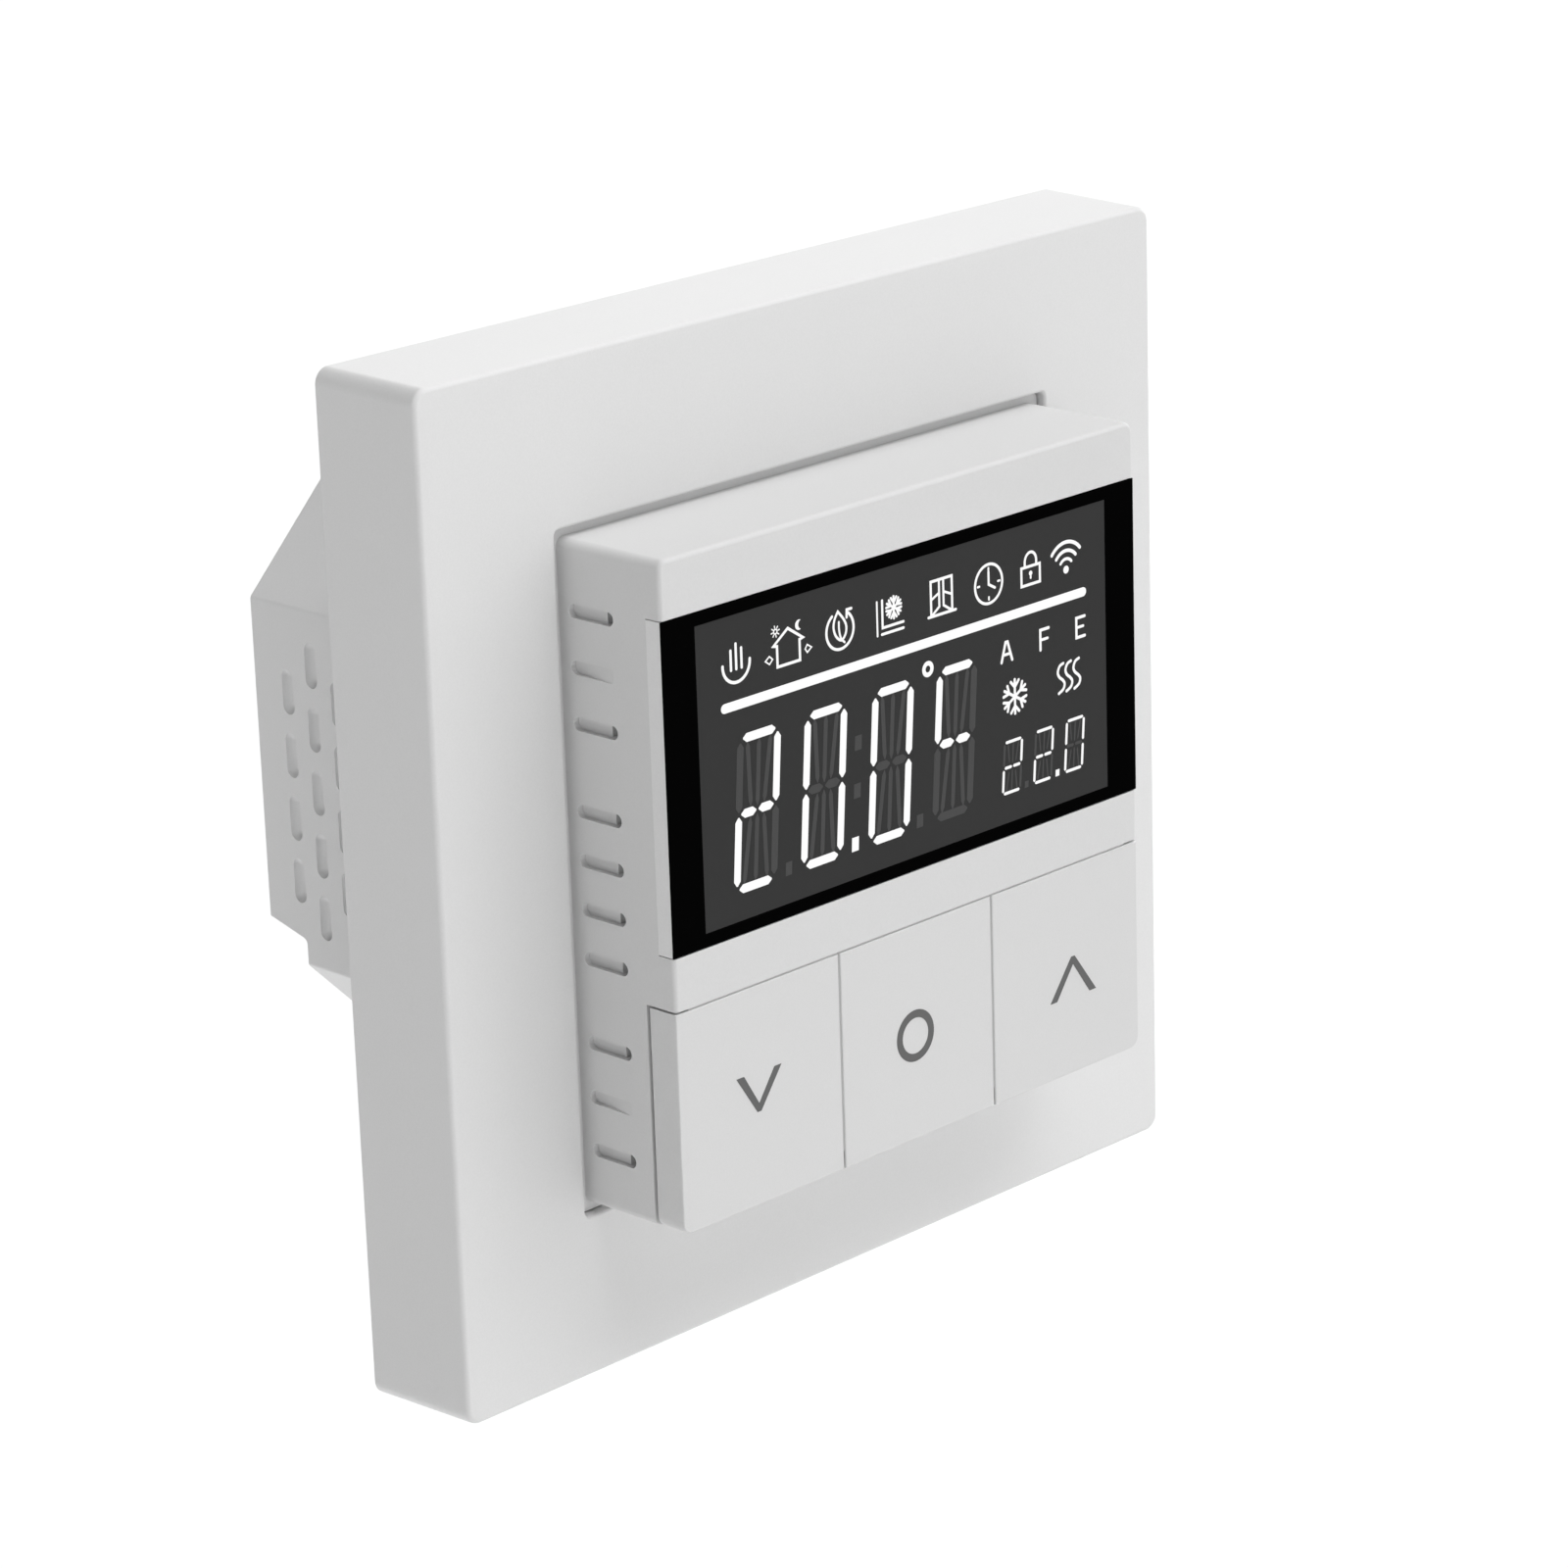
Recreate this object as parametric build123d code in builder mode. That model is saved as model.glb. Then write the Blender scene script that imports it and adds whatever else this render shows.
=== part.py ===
from build123d import *
import os

os.makedirs("parts", exist_ok=True)

# Wall thermostat for a round wall box: a cover frame, a 55 mm insert with a
# display and three keys, and an octagonal housing that sits in the box.
# X runs to the right seen from the front, Y into the wall and Z up. The origin
# is the centre of the frame's back, in the plane of the wall. All heights below
# are distances out of the wall (towards -Y), and depths are distances into it.

# Cover frame
frame_width = 84.0
frame_height = 10.82
frame_back_width = 84.52
frame_wall = 2.0
frame_corner = 1.3
opening_width = 56.76
opening_lip = 1.6

# Mounting plate
plate_width = 71.0
plate_thickness = 1.2
screw_spacing = 60.0
slot_length = 6.0
slot_radius = 1.9

# Insert: cover, display and keys
insert_width = 55.0
insert_back_width = 55.3
insert_height = 21.15
cover_wall = 1.6
cover_back = 2.8
rim_height = 10.0
rim_clearance = 0.13
front_wall = 1.5
display_top = 22.77
display_bottom = -4.43
display_depth = 1.65
bezel_thickness = 0.12
window_width = 47.85
window_length = 24.9
face_inset = 0.03
key_top = -9.0
key_thickness = 2.87
key_gap = 0.2
key_seam = 0.08
key_edge = 0.12
key_split = 9.09
key_notch = 3.25
key_travel = 0.25

# Grooves in the sides of the insert and of the housing
vent_width = 1.15
vent_length = 4.9
vent_depth = 0.5
pocket_length = 1.15
pocket_depth = 1.2
vent_height = 13.55
vent_levels = [22.0, 12.9, 5.75, 1.7, -2.35, -6.45, -13.5, -22.6]
ramp_levels = [17.45, -18.1]

# Housing in the wall
housing_half = 25.88
housing_chamfer = 10.21
housing_depth = 29.51
housing_wall = 1.6
step_depth = 24.7
flange_width = 54.0
flange_height = 2.7
screw_head_room = 4.0

# Boards
front_board_height = 12.6
board_thickness = 1.6
front_board_width = 50.0
power_board_depth = 3.0
board_screw_spacing = 46.4
housing_screw_spacing = 46.0
terminal_count = 6
terminal_pitch = 5.0
terminal_level = -17.4

# Sizes that follow from those above
display_middle = (display_top + display_bottom) / 2
display_length = display_top - display_bottom
panel_height = insert_height - display_depth
side = insert_width / 2
key_length = side + key_top
key_middle = (key_top - side) / 2
outer_key_width = side - key_split - key_gap / 2
outer_key_x = side - outer_key_width / 2
mode_key_width = 2 * key_split - key_gap
key_front = insert_height - face_inset
key_back = key_front - key_thickness
key_floor = insert_height - key_notch
key_floor_back = key_floor - front_wall
front_board_back = front_board_height - board_thickness

# ---------------------------------------------------------------- cover frame
with BuildPart() as outer_frame:
    with BuildSketch(Plane.XZ.offset(frame_height)):
        RectangleRounded(frame_width, frame_width, frame_corner)
    with BuildSketch(Plane.XZ):
        RectangleRounded(frame_back_width, frame_back_width, frame_corner)
    loft()
    fillet(outer_frame.edges().group_by(Axis.Y)[0], 0.4)
    with BuildSketch(Plane.XZ):
        RectangleRounded(opening_width, opening_width, 0.5)
    extrude(amount=frame_height, mode=Mode.SUBTRACT)
    front_rim = outer_frame.faces().sort_by(Axis.Y)[0].inner_wires()[0]
    fillet(front_rim.edges(), 0.3)
    # The back is hollow, with a lip round the opening that stops short of the plate
    inside = frame_width - 2 * frame_wall
    lip_width = opening_width + 2 * opening_lip
    with BuildSketch(Plane.XZ):
        RectangleRounded(inside, inside, 1.0)
        RectangleRounded(lip_width, lip_width, 1.0, mode=Mode.SUBTRACT)
    extrude(amount=frame_height - frame_wall, mode=Mode.SUBTRACT)
    with BuildSketch(Plane.XZ):
        Rectangle(lip_width + 0.2, lip_width + 0.2)
    extrude(amount=1.5, mode=Mode.SUBTRACT)
    # Room for the heads of the two wall screws
    with BuildSketch(Plane.XZ):
        with GridLocations(screw_spacing, 0, 2, 1):
            Rectangle(9, 9)
    extrude(amount=5.0, mode=Mode.SUBTRACT)
    # Stiffening ribs between the outer wall and the lip
    with BuildSketch(Plane.XZ.offset(4.0)):
        with PolarLocations(frame_width / 2 - 7.0, 4):
            with GridLocations(0, 42, 1, 2):
                Rectangle(11.0, 1.2)
    extrude(amount=frame_height - frame_wall - 4.0 + 0.2)
outer_frame.part.label = "outer_frame"
export_step(outer_frame.part, "parts/outer_frame.step")

# ------------------------------------------------------------- mounting plate
plate_hole = housing_half + 0.15
with BuildPart() as mounting_plate:
    with BuildSketch(Plane.XZ):
        RectangleRounded(plate_width, plate_width, 3.0)
        with BuildSketch(Plane.XZ, mode=Mode.SUBTRACT):
            Rectangle(2 * plate_hole, 2 * plate_hole)
            chamfer(vertices(), housing_chamfer)
        with GridLocations(screw_spacing, 0, 2, 1):
            SlotOverall(slot_length, 2 * slot_radius, mode=Mode.SUBTRACT)
        # Spare holes above and below, for a box whose screws are upright
        with GridLocations(0, screw_spacing, 1, 2):
            SlotOverall(slot_length, 2 * slot_radius, mode=Mode.SUBTRACT)
        with GridLocations(housing_screw_spacing, housing_screw_spacing, 2, 2):
            Circle(1.0, mode=Mode.SUBTRACT)
    extrude(amount=plate_thickness)
    # Spring tongues that grip the lip of the frame
    with BuildSketch(Plane.XZ.offset(plate_thickness)):
        with PolarLocations(lip_width / 2 + 0.4, 4):
            with GridLocations(0, 30, 1, 2):
                Rectangle(0.7, 6.0)
    extrude(amount=5.0)
    tongue_tips = mounting_plate.faces().sort_by(Axis.Y)[:8]
    fillet(tongue_tips.edges().filter_by(lambda edge: edge.length < 1), 0.3)
mounting_plate.part.label = "mounting_plate"
export_step(mounting_plate.part, "parts/mounting_plate.step")

# ----------------------------------------------------------------- front cover
inner_width = insert_width - 2 * cover_wall
# A ventilation groove whose floor rises to the surface at its front end
ramp_slot = extrude(Plane.YZ.offset(-1) * SlotOverall(vent_length, vent_width), 1 + vent_depth)
ramp_side = Polygon((-1, 2.46), (-1, -2.46), (0, -2.46), (vent_depth, 2.46), align=None)
ramp_floor = extrude(Plane.XY.offset(-1) * ramp_side, 2)
ramp_groove = ramp_slot & ramp_floor
with BuildPart() as front_cover:
    with BuildSketch(Plane.XZ.offset(insert_height)):
        RectangleRounded(insert_width, insert_width, 0.8)
    with BuildSketch(Plane.XZ.offset(cover_back)):
        RectangleRounded(insert_back_width, insert_back_width, 0.8)
    loft()
    fillet(front_cover.edges().group_by(Axis.Y)[0], 0.35)
    # Rim that centres the insert in the frame, just below the frame's front
    rim_width = opening_width - 2 * rim_clearance
    with BuildSketch(Plane.XZ.offset(rim_height)):
        RectangleRounded(rim_width, rim_width, 0.6)
    extrude(amount=-1.0)
    # Hollow from behind, deeper behind the display than behind the keys
    with BuildSketch(Plane.XZ.offset(cover_back)):
        Rectangle(inner_width, inner_width)
    extrude(amount=key_floor_back - cover_back, mode=Mode.SUBTRACT)
    with BuildSketch(Plane.XZ.offset(key_floor_back)):
        with Locations((0, inner_width / 2)):
            Rectangle(inner_width, inner_width / 2 + 7.4, align=(Align.CENTER, Align.MAX))
    extrude(amount=panel_height - front_wall - key_floor_back, mode=Mode.SUBTRACT)
    # Full-width seats for the display and for the keys
    with BuildSketch(Plane.XZ.offset(panel_height)):
        with Locations((0, display_middle)):
            Rectangle(insert_width + 2, display_length)
    extrude(amount=display_depth + 1, mode=Mode.SUBTRACT)
    with BuildSketch(Plane.XZ.offset(key_floor)):
        with Locations((0, key_top + key_gap)):
            Rectangle(insert_width + 2, 30, align=(Align.CENTER, Align.MAX))
    extrude(amount=key_notch + 1, mode=Mode.SUBTRACT)
    # Opening for the back of the display
    with BuildSketch(Plane.XZ.offset(panel_height)):
        with Locations((0, display_middle)):
            Rectangle(46.4, 25.3)
    extrude(amount=-5, mode=Mode.SUBTRACT)
    # Guide holes for the stems of the keys, and slots for their snap legs
    with BuildSketch(Plane.XZ.offset(key_floor)):
        with Locations((0, key_middle)):
            with GridLocations(outer_key_x, 0, 3, 1):
                Circle(2.3)
                with GridLocations(11.0, 0, 2, 1):
                    Rectangle(3.6, 1.6)
    extrude(amount=-front_wall - 0.5, mode=Mode.SUBTRACT)
    # Posts for the front circuit board
    for row, top in [(1, panel_height - front_wall), (-1, key_floor_back)]:
        with BuildSketch(Plane.XZ.offset(front_board_height)):
            with Locations((0, row * board_screw_spacing / 2)):
                with GridLocations(board_screw_spacing, 0, 2, 1):
                    Circle(1.9)
        extrude(amount=top - front_board_height + 0.1)
    with BuildSketch(Plane.XZ.offset(front_board_height)):
        with GridLocations(board_screw_spacing, board_screw_spacing, 2, 2):
            Circle(0.9)
    extrude(amount=3.0, mode=Mode.SUBTRACT)
    # Pockets for the clips of the housing, and room for the wall screws' heads
    with BuildSketch(Plane.XZ.offset(7.1)):
        with PolarLocations(inner_width / 2, 4):
            Rectangle(1.4, 9.0)
    extrude(amount=1.4, mode=Mode.SUBTRACT)
    with BuildSketch(Plane.XZ.offset(cover_back)):
        with PolarLocations(screw_spacing / 2, 4):
            Circle(screw_head_room + 0.2)
    extrude(amount=2.2, mode=Mode.SUBTRACT)
    # Ventilation grooves in both sides
    with BuildSketch(Plane.YZ.offset(-side - 1)):
        with Locations([(-vent_height, level) for level in vent_levels]):
            SlotOverall(vent_length, vent_width)
    extrude(amount=1 + vent_depth, mode=Mode.SUBTRACT)
    with BuildSketch(Plane.YZ.offset(side + 1)):
        with Locations([(-vent_height, level) for level in vent_levels]):
            SlotOverall(vent_length, vent_width)
    extrude(amount=-1 - vent_depth, mode=Mode.SUBTRACT)
    # The front end of each groove is a deeper pocket
    pocket_middle = -vent_height - vent_length / 2 + pocket_length / 2
    with BuildSketch(Plane.YZ.offset(-side - 1)):
        with Locations([(-vent_height, level) for level in vent_levels]):
            SlotOverall(vent_length, vent_width)
        with Locations((pocket_middle, 0)):
            Rectangle(pocket_length, insert_width, mode=Mode.INTERSECT)
    extrude(amount=1 + pocket_depth, mode=Mode.SUBTRACT)
    with BuildSketch(Plane.YZ.offset(side + 1)):
        with Locations([(-vent_height, level) for level in vent_levels]):
            SlotOverall(vent_length, vent_width)
        with Locations((pocket_middle, 0)):
            Rectangle(pocket_length, insert_width, mode=Mode.INTERSECT)
    extrude(amount=-1 - pocket_depth, mode=Mode.SUBTRACT)
    with Locations([(-side - 0.07, -vent_height, level) for level in ramp_levels]):
        add(ramp_groove, mode=Mode.SUBTRACT)
    with Locations([(side + 0.07, -vent_height, level) for level in ramp_levels]):
        add(ramp_groove.mirror(Plane.YZ), mode=Mode.SUBTRACT)
front_cover.part.label = "front_cover"
export_step(front_cover.part, "parts/front_cover.step")

# --------------------------------------------------------------------- display
seam = 0.08
panel_length = display_length - 2 * seam
glass_front = insert_height - bezel_thickness - 0.02
glass_thickness = 1.1
glass_back = glass_front - glass_thickness
pin_rows = 24.4
pin_pitch = 2.54

with BuildPart() as display_carrier:
    with BuildSketch(Plane.XZ.offset(panel_height)):
        with Locations((0, display_middle)):
            Rectangle(insert_width, panel_length)
            Rectangle(46.0, 25.3, mode=Mode.SUBTRACT)
    extrude(amount=display_depth - bezel_thickness)
    with BuildSketch(Plane.XZ.offset(glass_back - 0.02)):
        with Locations((0, display_middle)):
            Rectangle(50.2, 26.1)
    extrude(amount=glass_thickness + 1, mode=Mode.SUBTRACT)
display_carrier.part.label = "display_carrier"
export_step(display_carrier.part, "parts/display_carrier.step")

with BuildPart() as display_bezel:
    with BuildSketch(Plane.XZ.offset(insert_height - bezel_thickness)):
        with Locations((0, display_middle)):
            Rectangle(insert_width, panel_length)
            Rectangle(window_width, window_length, mode=Mode.SUBTRACT)
    extrude(amount=bezel_thickness)
display_bezel.part.label = "display_bezel"
export_step(display_bezel.part, "parts/display_bezel.step")

with BuildPart() as lcd_glass:
    with BuildSketch(Plane.XZ.offset(glass_back)):
        with Locations((0, display_middle)):
            Rectangle(50.0, 25.9)
    extrude(amount=glass_thickness)
    # The front sheet stops short of the back one at both ends
    with BuildSketch(Plane.XZ.offset(glass_back + glass_thickness / 2)):
        with Locations((0, display_middle)):
            with GridLocations(49.6, 0, 2, 1):
                Rectangle(0.6, 30)
    extrude(amount=glass_thickness, mode=Mode.SUBTRACT)
lcd_glass.part.label = "lcd_glass"
export_step(lcd_glass.part, "parts/lcd_glass.step")

with BuildPart() as lcd_polariser:
    with BuildSketch(Plane.XZ.offset(glass_front)):
        with Locations((0, display_middle)):
            Rectangle(window_width - 0.06, window_length - 0.06)
    extrude(amount=insert_height - face_inset - glass_front)
lcd_polariser.part.label = "lcd_polariser"
export_step(lcd_polariser.part, "parts/lcd_polariser.step")

with BuildPart() as lcd_backlight:
    with BuildSketch(Plane.XZ.offset(glass_back)):
        with Locations((0, display_middle)):
            RectangleRounded(45.4, 23.4, 0.5)
    extrude(amount=-1.6)
    # Lug at one end for the lamp
    with BuildSketch(Plane.XZ.offset(glass_back - 1.6)):
        with Locations((-16.0, display_middle)):
            Rectangle(8.0, 12.0)
    extrude(amount=-1.2)
lcd_backlight.part.label = "lcd_backlight"
export_step(lcd_backlight.part, "parts/lcd_backlight.step")

with BuildPart() as lcd_pins:
    with BuildSketch(Plane.XZ.offset(front_board_back - 1.0)):
        with Locations((0, display_middle)):
            with GridLocations(pin_pitch, pin_rows, 10, 2):
                Circle(0.25)
    extrude(amount=glass_back - front_board_back + 1.0)
lcd_pins.part.label = "lcd_pins"
export_step(lcd_pins.part, "parts/lcd_pins.step")

# ------------------------------------------------------------------------ keys
leg_hook = key_floor_back - 0.05


def make_key(key_x, width):
    """A hollow key cap with a stem and two snap legs, centred at key_x."""
    with BuildPart() as key:
        with BuildSketch(Plane.XZ.offset(key_back)):
            with Locations((key_x, key_middle)):
                Rectangle(width, key_length)
        extrude(amount=key_thickness)
        outer = key.edges().filter_by(Axis.Y).filter_by(lambda e: e.center().Z < -20)
        corners = outer.filter_by(lambda e: abs(e.center().X) > side - 1)
        if corners:
            fillet(corners, 1.0)
        fillet(key.faces().sort_by(Axis.Y)[0].edges(), key_edge)
        # A low skirt all but closes the gaps to the strip above and to the neighbours
        skirt = (key_gap - key_seam) / 2
        left = width / 2 + skirt if key_x > -1 else width / 2 - 1.5
        right = width / 2 + skirt if key_x < 1 else width / 2 - 1.5
        top = key_length / 2 + 2 * skirt
        bottom = key_length / 2 - 1.5
        with BuildSketch(Plane.XZ.offset(key_back)):
            with Locations((key_x + (right - left) / 2, key_middle + (top - bottom) / 2)):
                Rectangle(left + right, top + bottom)
        extrude(amount=key_thickness - key_edge - 0.04)
        with BuildSketch(Plane.XZ.offset(key_back)):
            with Locations((key_x, key_middle)):
                RectangleRounded(width - 2.6, key_length - 2.6, 0.6)
        extrude(amount=key_thickness - 1.3, mode=Mode.SUBTRACT)
        with BuildSketch(Plane.XZ.offset(15.3)):
            with Locations((key_x, key_middle)):
                Circle(2.0)
        extrude(amount=key_front - 16.0)
        with BuildSketch(Plane.XZ.offset(leg_hook - 0.8)):
            with Locations((key_x, key_middle)):
                with GridLocations(11.0, 0, 2, 1):
                    Rectangle(3.0, 1.0)
        extrude(amount=key_front - leg_hook)
        with BuildSketch(Plane.XZ.offset(leg_hook - 0.8)):
            with Locations((key_x, key_middle + 0.35)):
                with GridLocations(11.0, 0, 2, 1):
                    Rectangle(3.0, 1.7)
        extrude(amount=0.8)
    return key.part


down_button = make_key(-outer_key_x, outer_key_width)
down_button.label = "down_button"
export_step(down_button, "parts/down_button.step")

mode_button = make_key(0, mode_key_width)
mode_button.label = "mode_button"
export_step(mode_button, "parts/mode_button.step")

up_button = make_key(outer_key_x, outer_key_width)
up_button.label = "up_button"
export_step(up_button, "parts/up_button.step")

for name, key_x in [("down_plunger", -outer_key_x), ("mode_plunger", 0), ("up_plunger", outer_key_x)]:
    with BuildPart() as plunger:
        with BuildSketch(Plane.XZ.offset(15.3)):
            with Locations((key_x, key_middle)):
                Circle(1.6)
        extrude(amount=-1.4)
        fillet(plunger.edges().sort_by(Axis.Y)[-1], 0.2)
    plunger.part.label = name
    export_step(plunger.part, f"parts/{name}.step")

with BuildPart() as switch_bodies:
    with BuildSketch(Plane.XZ.offset(front_board_height)):
        with Locations((0, key_middle)):
            with GridLocations(outer_key_x, 0, 3, 1):
                RectangleRounded(6.0, 6.0, 0.4)
    extrude(amount=1.9)
    with BuildSketch(Plane.XZ.offset(front_board_height + 0.8)):
        with Locations((0, key_middle)):
            with GridLocations(outer_key_x, 0, 3, 1):
                Circle(1.75)
    extrude(amount=2, mode=Mode.SUBTRACT)
switch_bodies.part.label = "switch_bodies"
export_step(switch_bodies.part, "parts/switch_bodies.step")

# ----------------------------------------------------------------- front board
socket_x = 11.0
socket_z = 0.0
with BuildPart() as front_pcb:
    with BuildSketch(Plane.XZ.offset(front_board_back)):
        RectangleRounded(front_board_width, front_board_width, 1.0)
        with GridLocations(board_screw_spacing, board_screw_spacing, 2, 2):
            Circle(1.2, mode=Mode.SUBTRACT)
        with Locations((0, display_middle)):
            with GridLocations(pin_pitch, pin_rows, 10, 2):
                Circle(0.35, mode=Mode.SUBTRACT)
    extrude(amount=board_thickness)
front_pcb.part.label = "front_pcb"
export_step(front_pcb.part, "parts/front_pcb.step")

with BuildPart() as pcb_screws:
    with BuildSketch(Plane.XZ.offset(front_board_back)):
        with GridLocations(board_screw_spacing, board_screw_spacing, 2, 2):
            Circle(1.9)
    extrude(amount=-1.3)
    fillet(pcb_screws.edges().group_by(Axis.Y)[-1], 0.4)
    with BuildSketch(Plane.XZ.offset(front_board_back)):
        with GridLocations(board_screw_spacing, board_screw_spacing, 2, 2):
            Circle(0.85)
    extrude(amount=4.2)
    with BuildSketch(Plane.XZ.offset(front_board_back - 1.3)):
        with GridLocations(board_screw_spacing, board_screw_spacing, 2, 2):
            Rectangle(2.2, 0.5)
            Rectangle(0.5, 2.2)
    extrude(amount=0.7, mode=Mode.SUBTRACT)
pcb_screws.part.label = "pcb_screws"
export_step(pcb_screws.part, "parts/pcb_screws.step")

with BuildPart() as controller_chip:
    with BuildSketch(Plane.XZ.offset(front_board_back)):
        with Locations((-6.0, -14.0)):
            Rectangle(10.0, 10.0)
    extrude(amount=-1.4)
    chamfer(controller_chip.faces().sort_by(Axis.Y)[-1].edges(), 0.25)
    # Legs along the four sides
    with BuildSketch(Plane.XZ.offset(front_board_back)):
        with Locations((-6.0, -14.0)):
            with PolarLocations(5.4, 4):
                with GridLocations(0, 1.0, 1, 8):
                    Rectangle(1.0, 0.4)
    extrude(amount=-0.5)
controller_chip.part.label = "controller_chip"
export_step(controller_chip.part, "parts/controller_chip.step")

with BuildPart() as temperature_sensor:
    with Locations((-23.2, -front_board_height - 2.2, -10.0)):
        Sphere(1.1)
    with BuildSketch(Plane.XZ.offset(front_board_height)):
        with Locations((-23.2, -10.0)):
            with GridLocations(0, 1.2, 1, 2):
                Circle(0.25)
    extrude(amount=2.2)
temperature_sensor.part.label = "temperature_sensor"
export_step(temperature_sensor.part, "parts/temperature_sensor.step")

with BuildPart() as wireless_board:
    with BuildSketch(Plane.XZ.offset(front_board_back)):
        with Locations((-10.0, 13.0)):
            Rectangle(22.0, 15.0)
            # Solder notches along one edge
            with Locations((0, -7.5)):
                with GridLocations(2.0, 0, 10, 1):
                    Circle(0.5, mode=Mode.SUBTRACT)
    extrude(amount=-0.8)
wireless_board.part.label = "wireless_board"
export_step(wireless_board.part, "parts/wireless_board.step")

with BuildPart() as wireless_shield:
    with BuildSketch(Plane.XZ.offset(front_board_back - 0.8)):
        with Locations((-7.5, 13.6)):
            RectangleRounded(14.0, 12.0, 0.6)
    extrude(amount=-1.9)
    fillet(wireless_shield.faces().sort_by(Axis.Y)[-1].edges(), 0.25)
wireless_shield.part.label = "wireless_shield"
export_step(wireless_shield.part, "parts/wireless_shield.step")

with BuildPart() as board_socket:
    with BuildSketch(Plane.XZ.offset(front_board_back)):
        with Locations((socket_x, socket_z)):
            Rectangle(15.4, 5.0)
    extrude(amount=-5.5)
    with BuildSketch(Plane.XZ.offset(front_board_back - 5.5)):
        with Locations((socket_x, socket_z)):
            with GridLocations(pin_pitch, pin_pitch, 6, 2):
                Rectangle(0.8, 0.8)
    extrude(amount=4.5, mode=Mode.SUBTRACT)
board_socket.part.label = "board_socket"
export_step(board_socket.part, "parts/board_socket.step")

# --------------------------------------------------------------------- housing
with BuildSketch(Plane.XZ) as octagon:
    Rectangle(2 * housing_half, 2 * housing_half)
    chamfer(octagon.vertices(), housing_chamfer)
with BuildSketch(Plane.XZ) as inner_octagon:
    offset(octagon.sketch, amount=-housing_wall, kind=Kind.INTERSECTION)
with BuildSketch(Plane.XZ) as board_octagon:
    offset(octagon.sketch, amount=-housing_wall - 0.3, kind=Kind.INTERSECTION)

with BuildPart() as rear_housing:
    with BuildSketch(Plane.XZ.offset(plate_thickness)):
        add(octagon.sketch)
    extrude(amount=-plate_thickness - housing_depth)
    # The lower part of the back is stepped forward, over the terminals
    with BuildSketch(Plane.YZ.offset(-housing_half - 1)):
        with BuildLine():
            FilletPolyline(
                (housing_depth + 1, -11.95),
                (step_depth, -13.45),
                (step_depth, -housing_half - 1),
                (housing_depth + 1, -housing_half - 1),
                radius=(0.0, 0.6, 0.0, 0.0),
                close=True,
            )
        make_face()
    extrude(amount=2 * housing_half + 2, mode=Mode.SUBTRACT)
    fillet(rear_housing.edges().filter_by(Axis.Y), 0.5)
    fillet(rear_housing.faces().sort_by(Axis.Y)[-1].edges(), 0.35)
    # Flange that rests on the front of the mounting plate
    with BuildSketch(Plane.XZ.offset(plate_thickness)):
        RectangleRounded(flange_width, flange_width, 2.0)
        with PolarLocations(screw_spacing / 2, 4):
            Circle(screw_head_room, mode=Mode.SUBTRACT)
        with GridLocations(housing_screw_spacing, housing_screw_spacing, 2, 2):
            Circle(1.15, mode=Mode.SUBTRACT)
    extrude(amount=flange_height - plate_thickness)
    # Cavity, shallower behind the step
    with BuildSketch(Plane.XZ.offset(flange_height)):
        add(inner_octagon.sketch)
    extrude(amount=-flange_height - step_depth + housing_wall, mode=Mode.SUBTRACT)
    with BuildSketch(Plane.XZ.offset(-step_depth + housing_wall)):
        add(inner_octagon.sketch)
        with Locations((0, -11.2)):
            Rectangle(60, 30, align=(Align.CENTER, Align.MAX), mode=Mode.SUBTRACT)
    extrude(amount=-housing_depth + step_depth, mode=Mode.SUBTRACT)
    # Ledges for the power board
    ledge_depth = power_board_depth + board_thickness
    with BuildSketch(Plane.XZ.offset(-ledge_depth)):
        with GridLocations(2 * (housing_half - housing_wall) - 1.4, 0, 2, 1):
            Rectangle(1.6, 8.0)
    extrude(amount=-8.0)
    # Clip arms that hold the cover
    with BuildSketch(Plane.XZ.offset(flange_height)):
        with PolarLocations(24.95, 4):
            Rectangle(1.1, 8.0)
    extrude(amount=6.2)
    with BuildSketch(Plane.XZ.offset(7.3)):
        with PolarLocations(25.5, 4):
            Rectangle(1.6, 8.0)
    extrude(amount=1.0)
    # Wire entries through the step, and screwdriver holes from below
    with BuildSketch(Plane.XZ.offset(-step_depth + housing_wall)):
        with Locations((0, terminal_level)):
            with GridLocations(terminal_pitch, 0, terminal_count, 1):
                Circle(1.8)
    extrude(amount=-housing_wall, mode=Mode.SUBTRACT)
    with BuildSketch(Plane.XY.offset(-housing_half)):
        with Locations((0, 18.0)):
            with GridLocations(terminal_pitch, 0, terminal_count, 1):
                Circle(1.9)
    extrude(amount=housing_wall, mode=Mode.SUBTRACT)
    # Rounded grooves in both sides, in three staggered columns
    long_column = [11.0, 5.5, 0.0, -5.5, -11.0]
    short_column = [8.2, 2.7, -2.8, -8.3]
    grooves = [(22.1, level) for level in long_column]
    grooves += [(depth, level) for depth in (25.15, 19.05) for level in short_column]
    for sign in (-1, 1):
        with Locations([(sign * (housing_half + 0.15), depth, level) for depth, level in grooves]):
            Cylinder(0.72, 2.5, mode=Mode.SUBTRACT)
        for end in (-1.25, 1.25):
            with Locations([(sign * (housing_half + 0.15), depth, level + end) for depth, level in grooves]):
                Sphere(0.72, mode=Mode.SUBTRACT)
rear_housing.part.label = "rear_housing"
export_step(rear_housing.part, "parts/rear_housing.step")

with BuildPart() as housing_lid:
    with BuildSketch(Plane.XZ.offset(flange_height)):
        add(board_octagon.sketch)
        with Locations((socket_x, socket_z)):
            Rectangle(17.0, 6.6, mode=Mode.SUBTRACT)
    extrude(amount=-1.5)
housing_lid.part.label = "housing_lid"
export_step(housing_lid.part, "parts/housing_lid.step")

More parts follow.
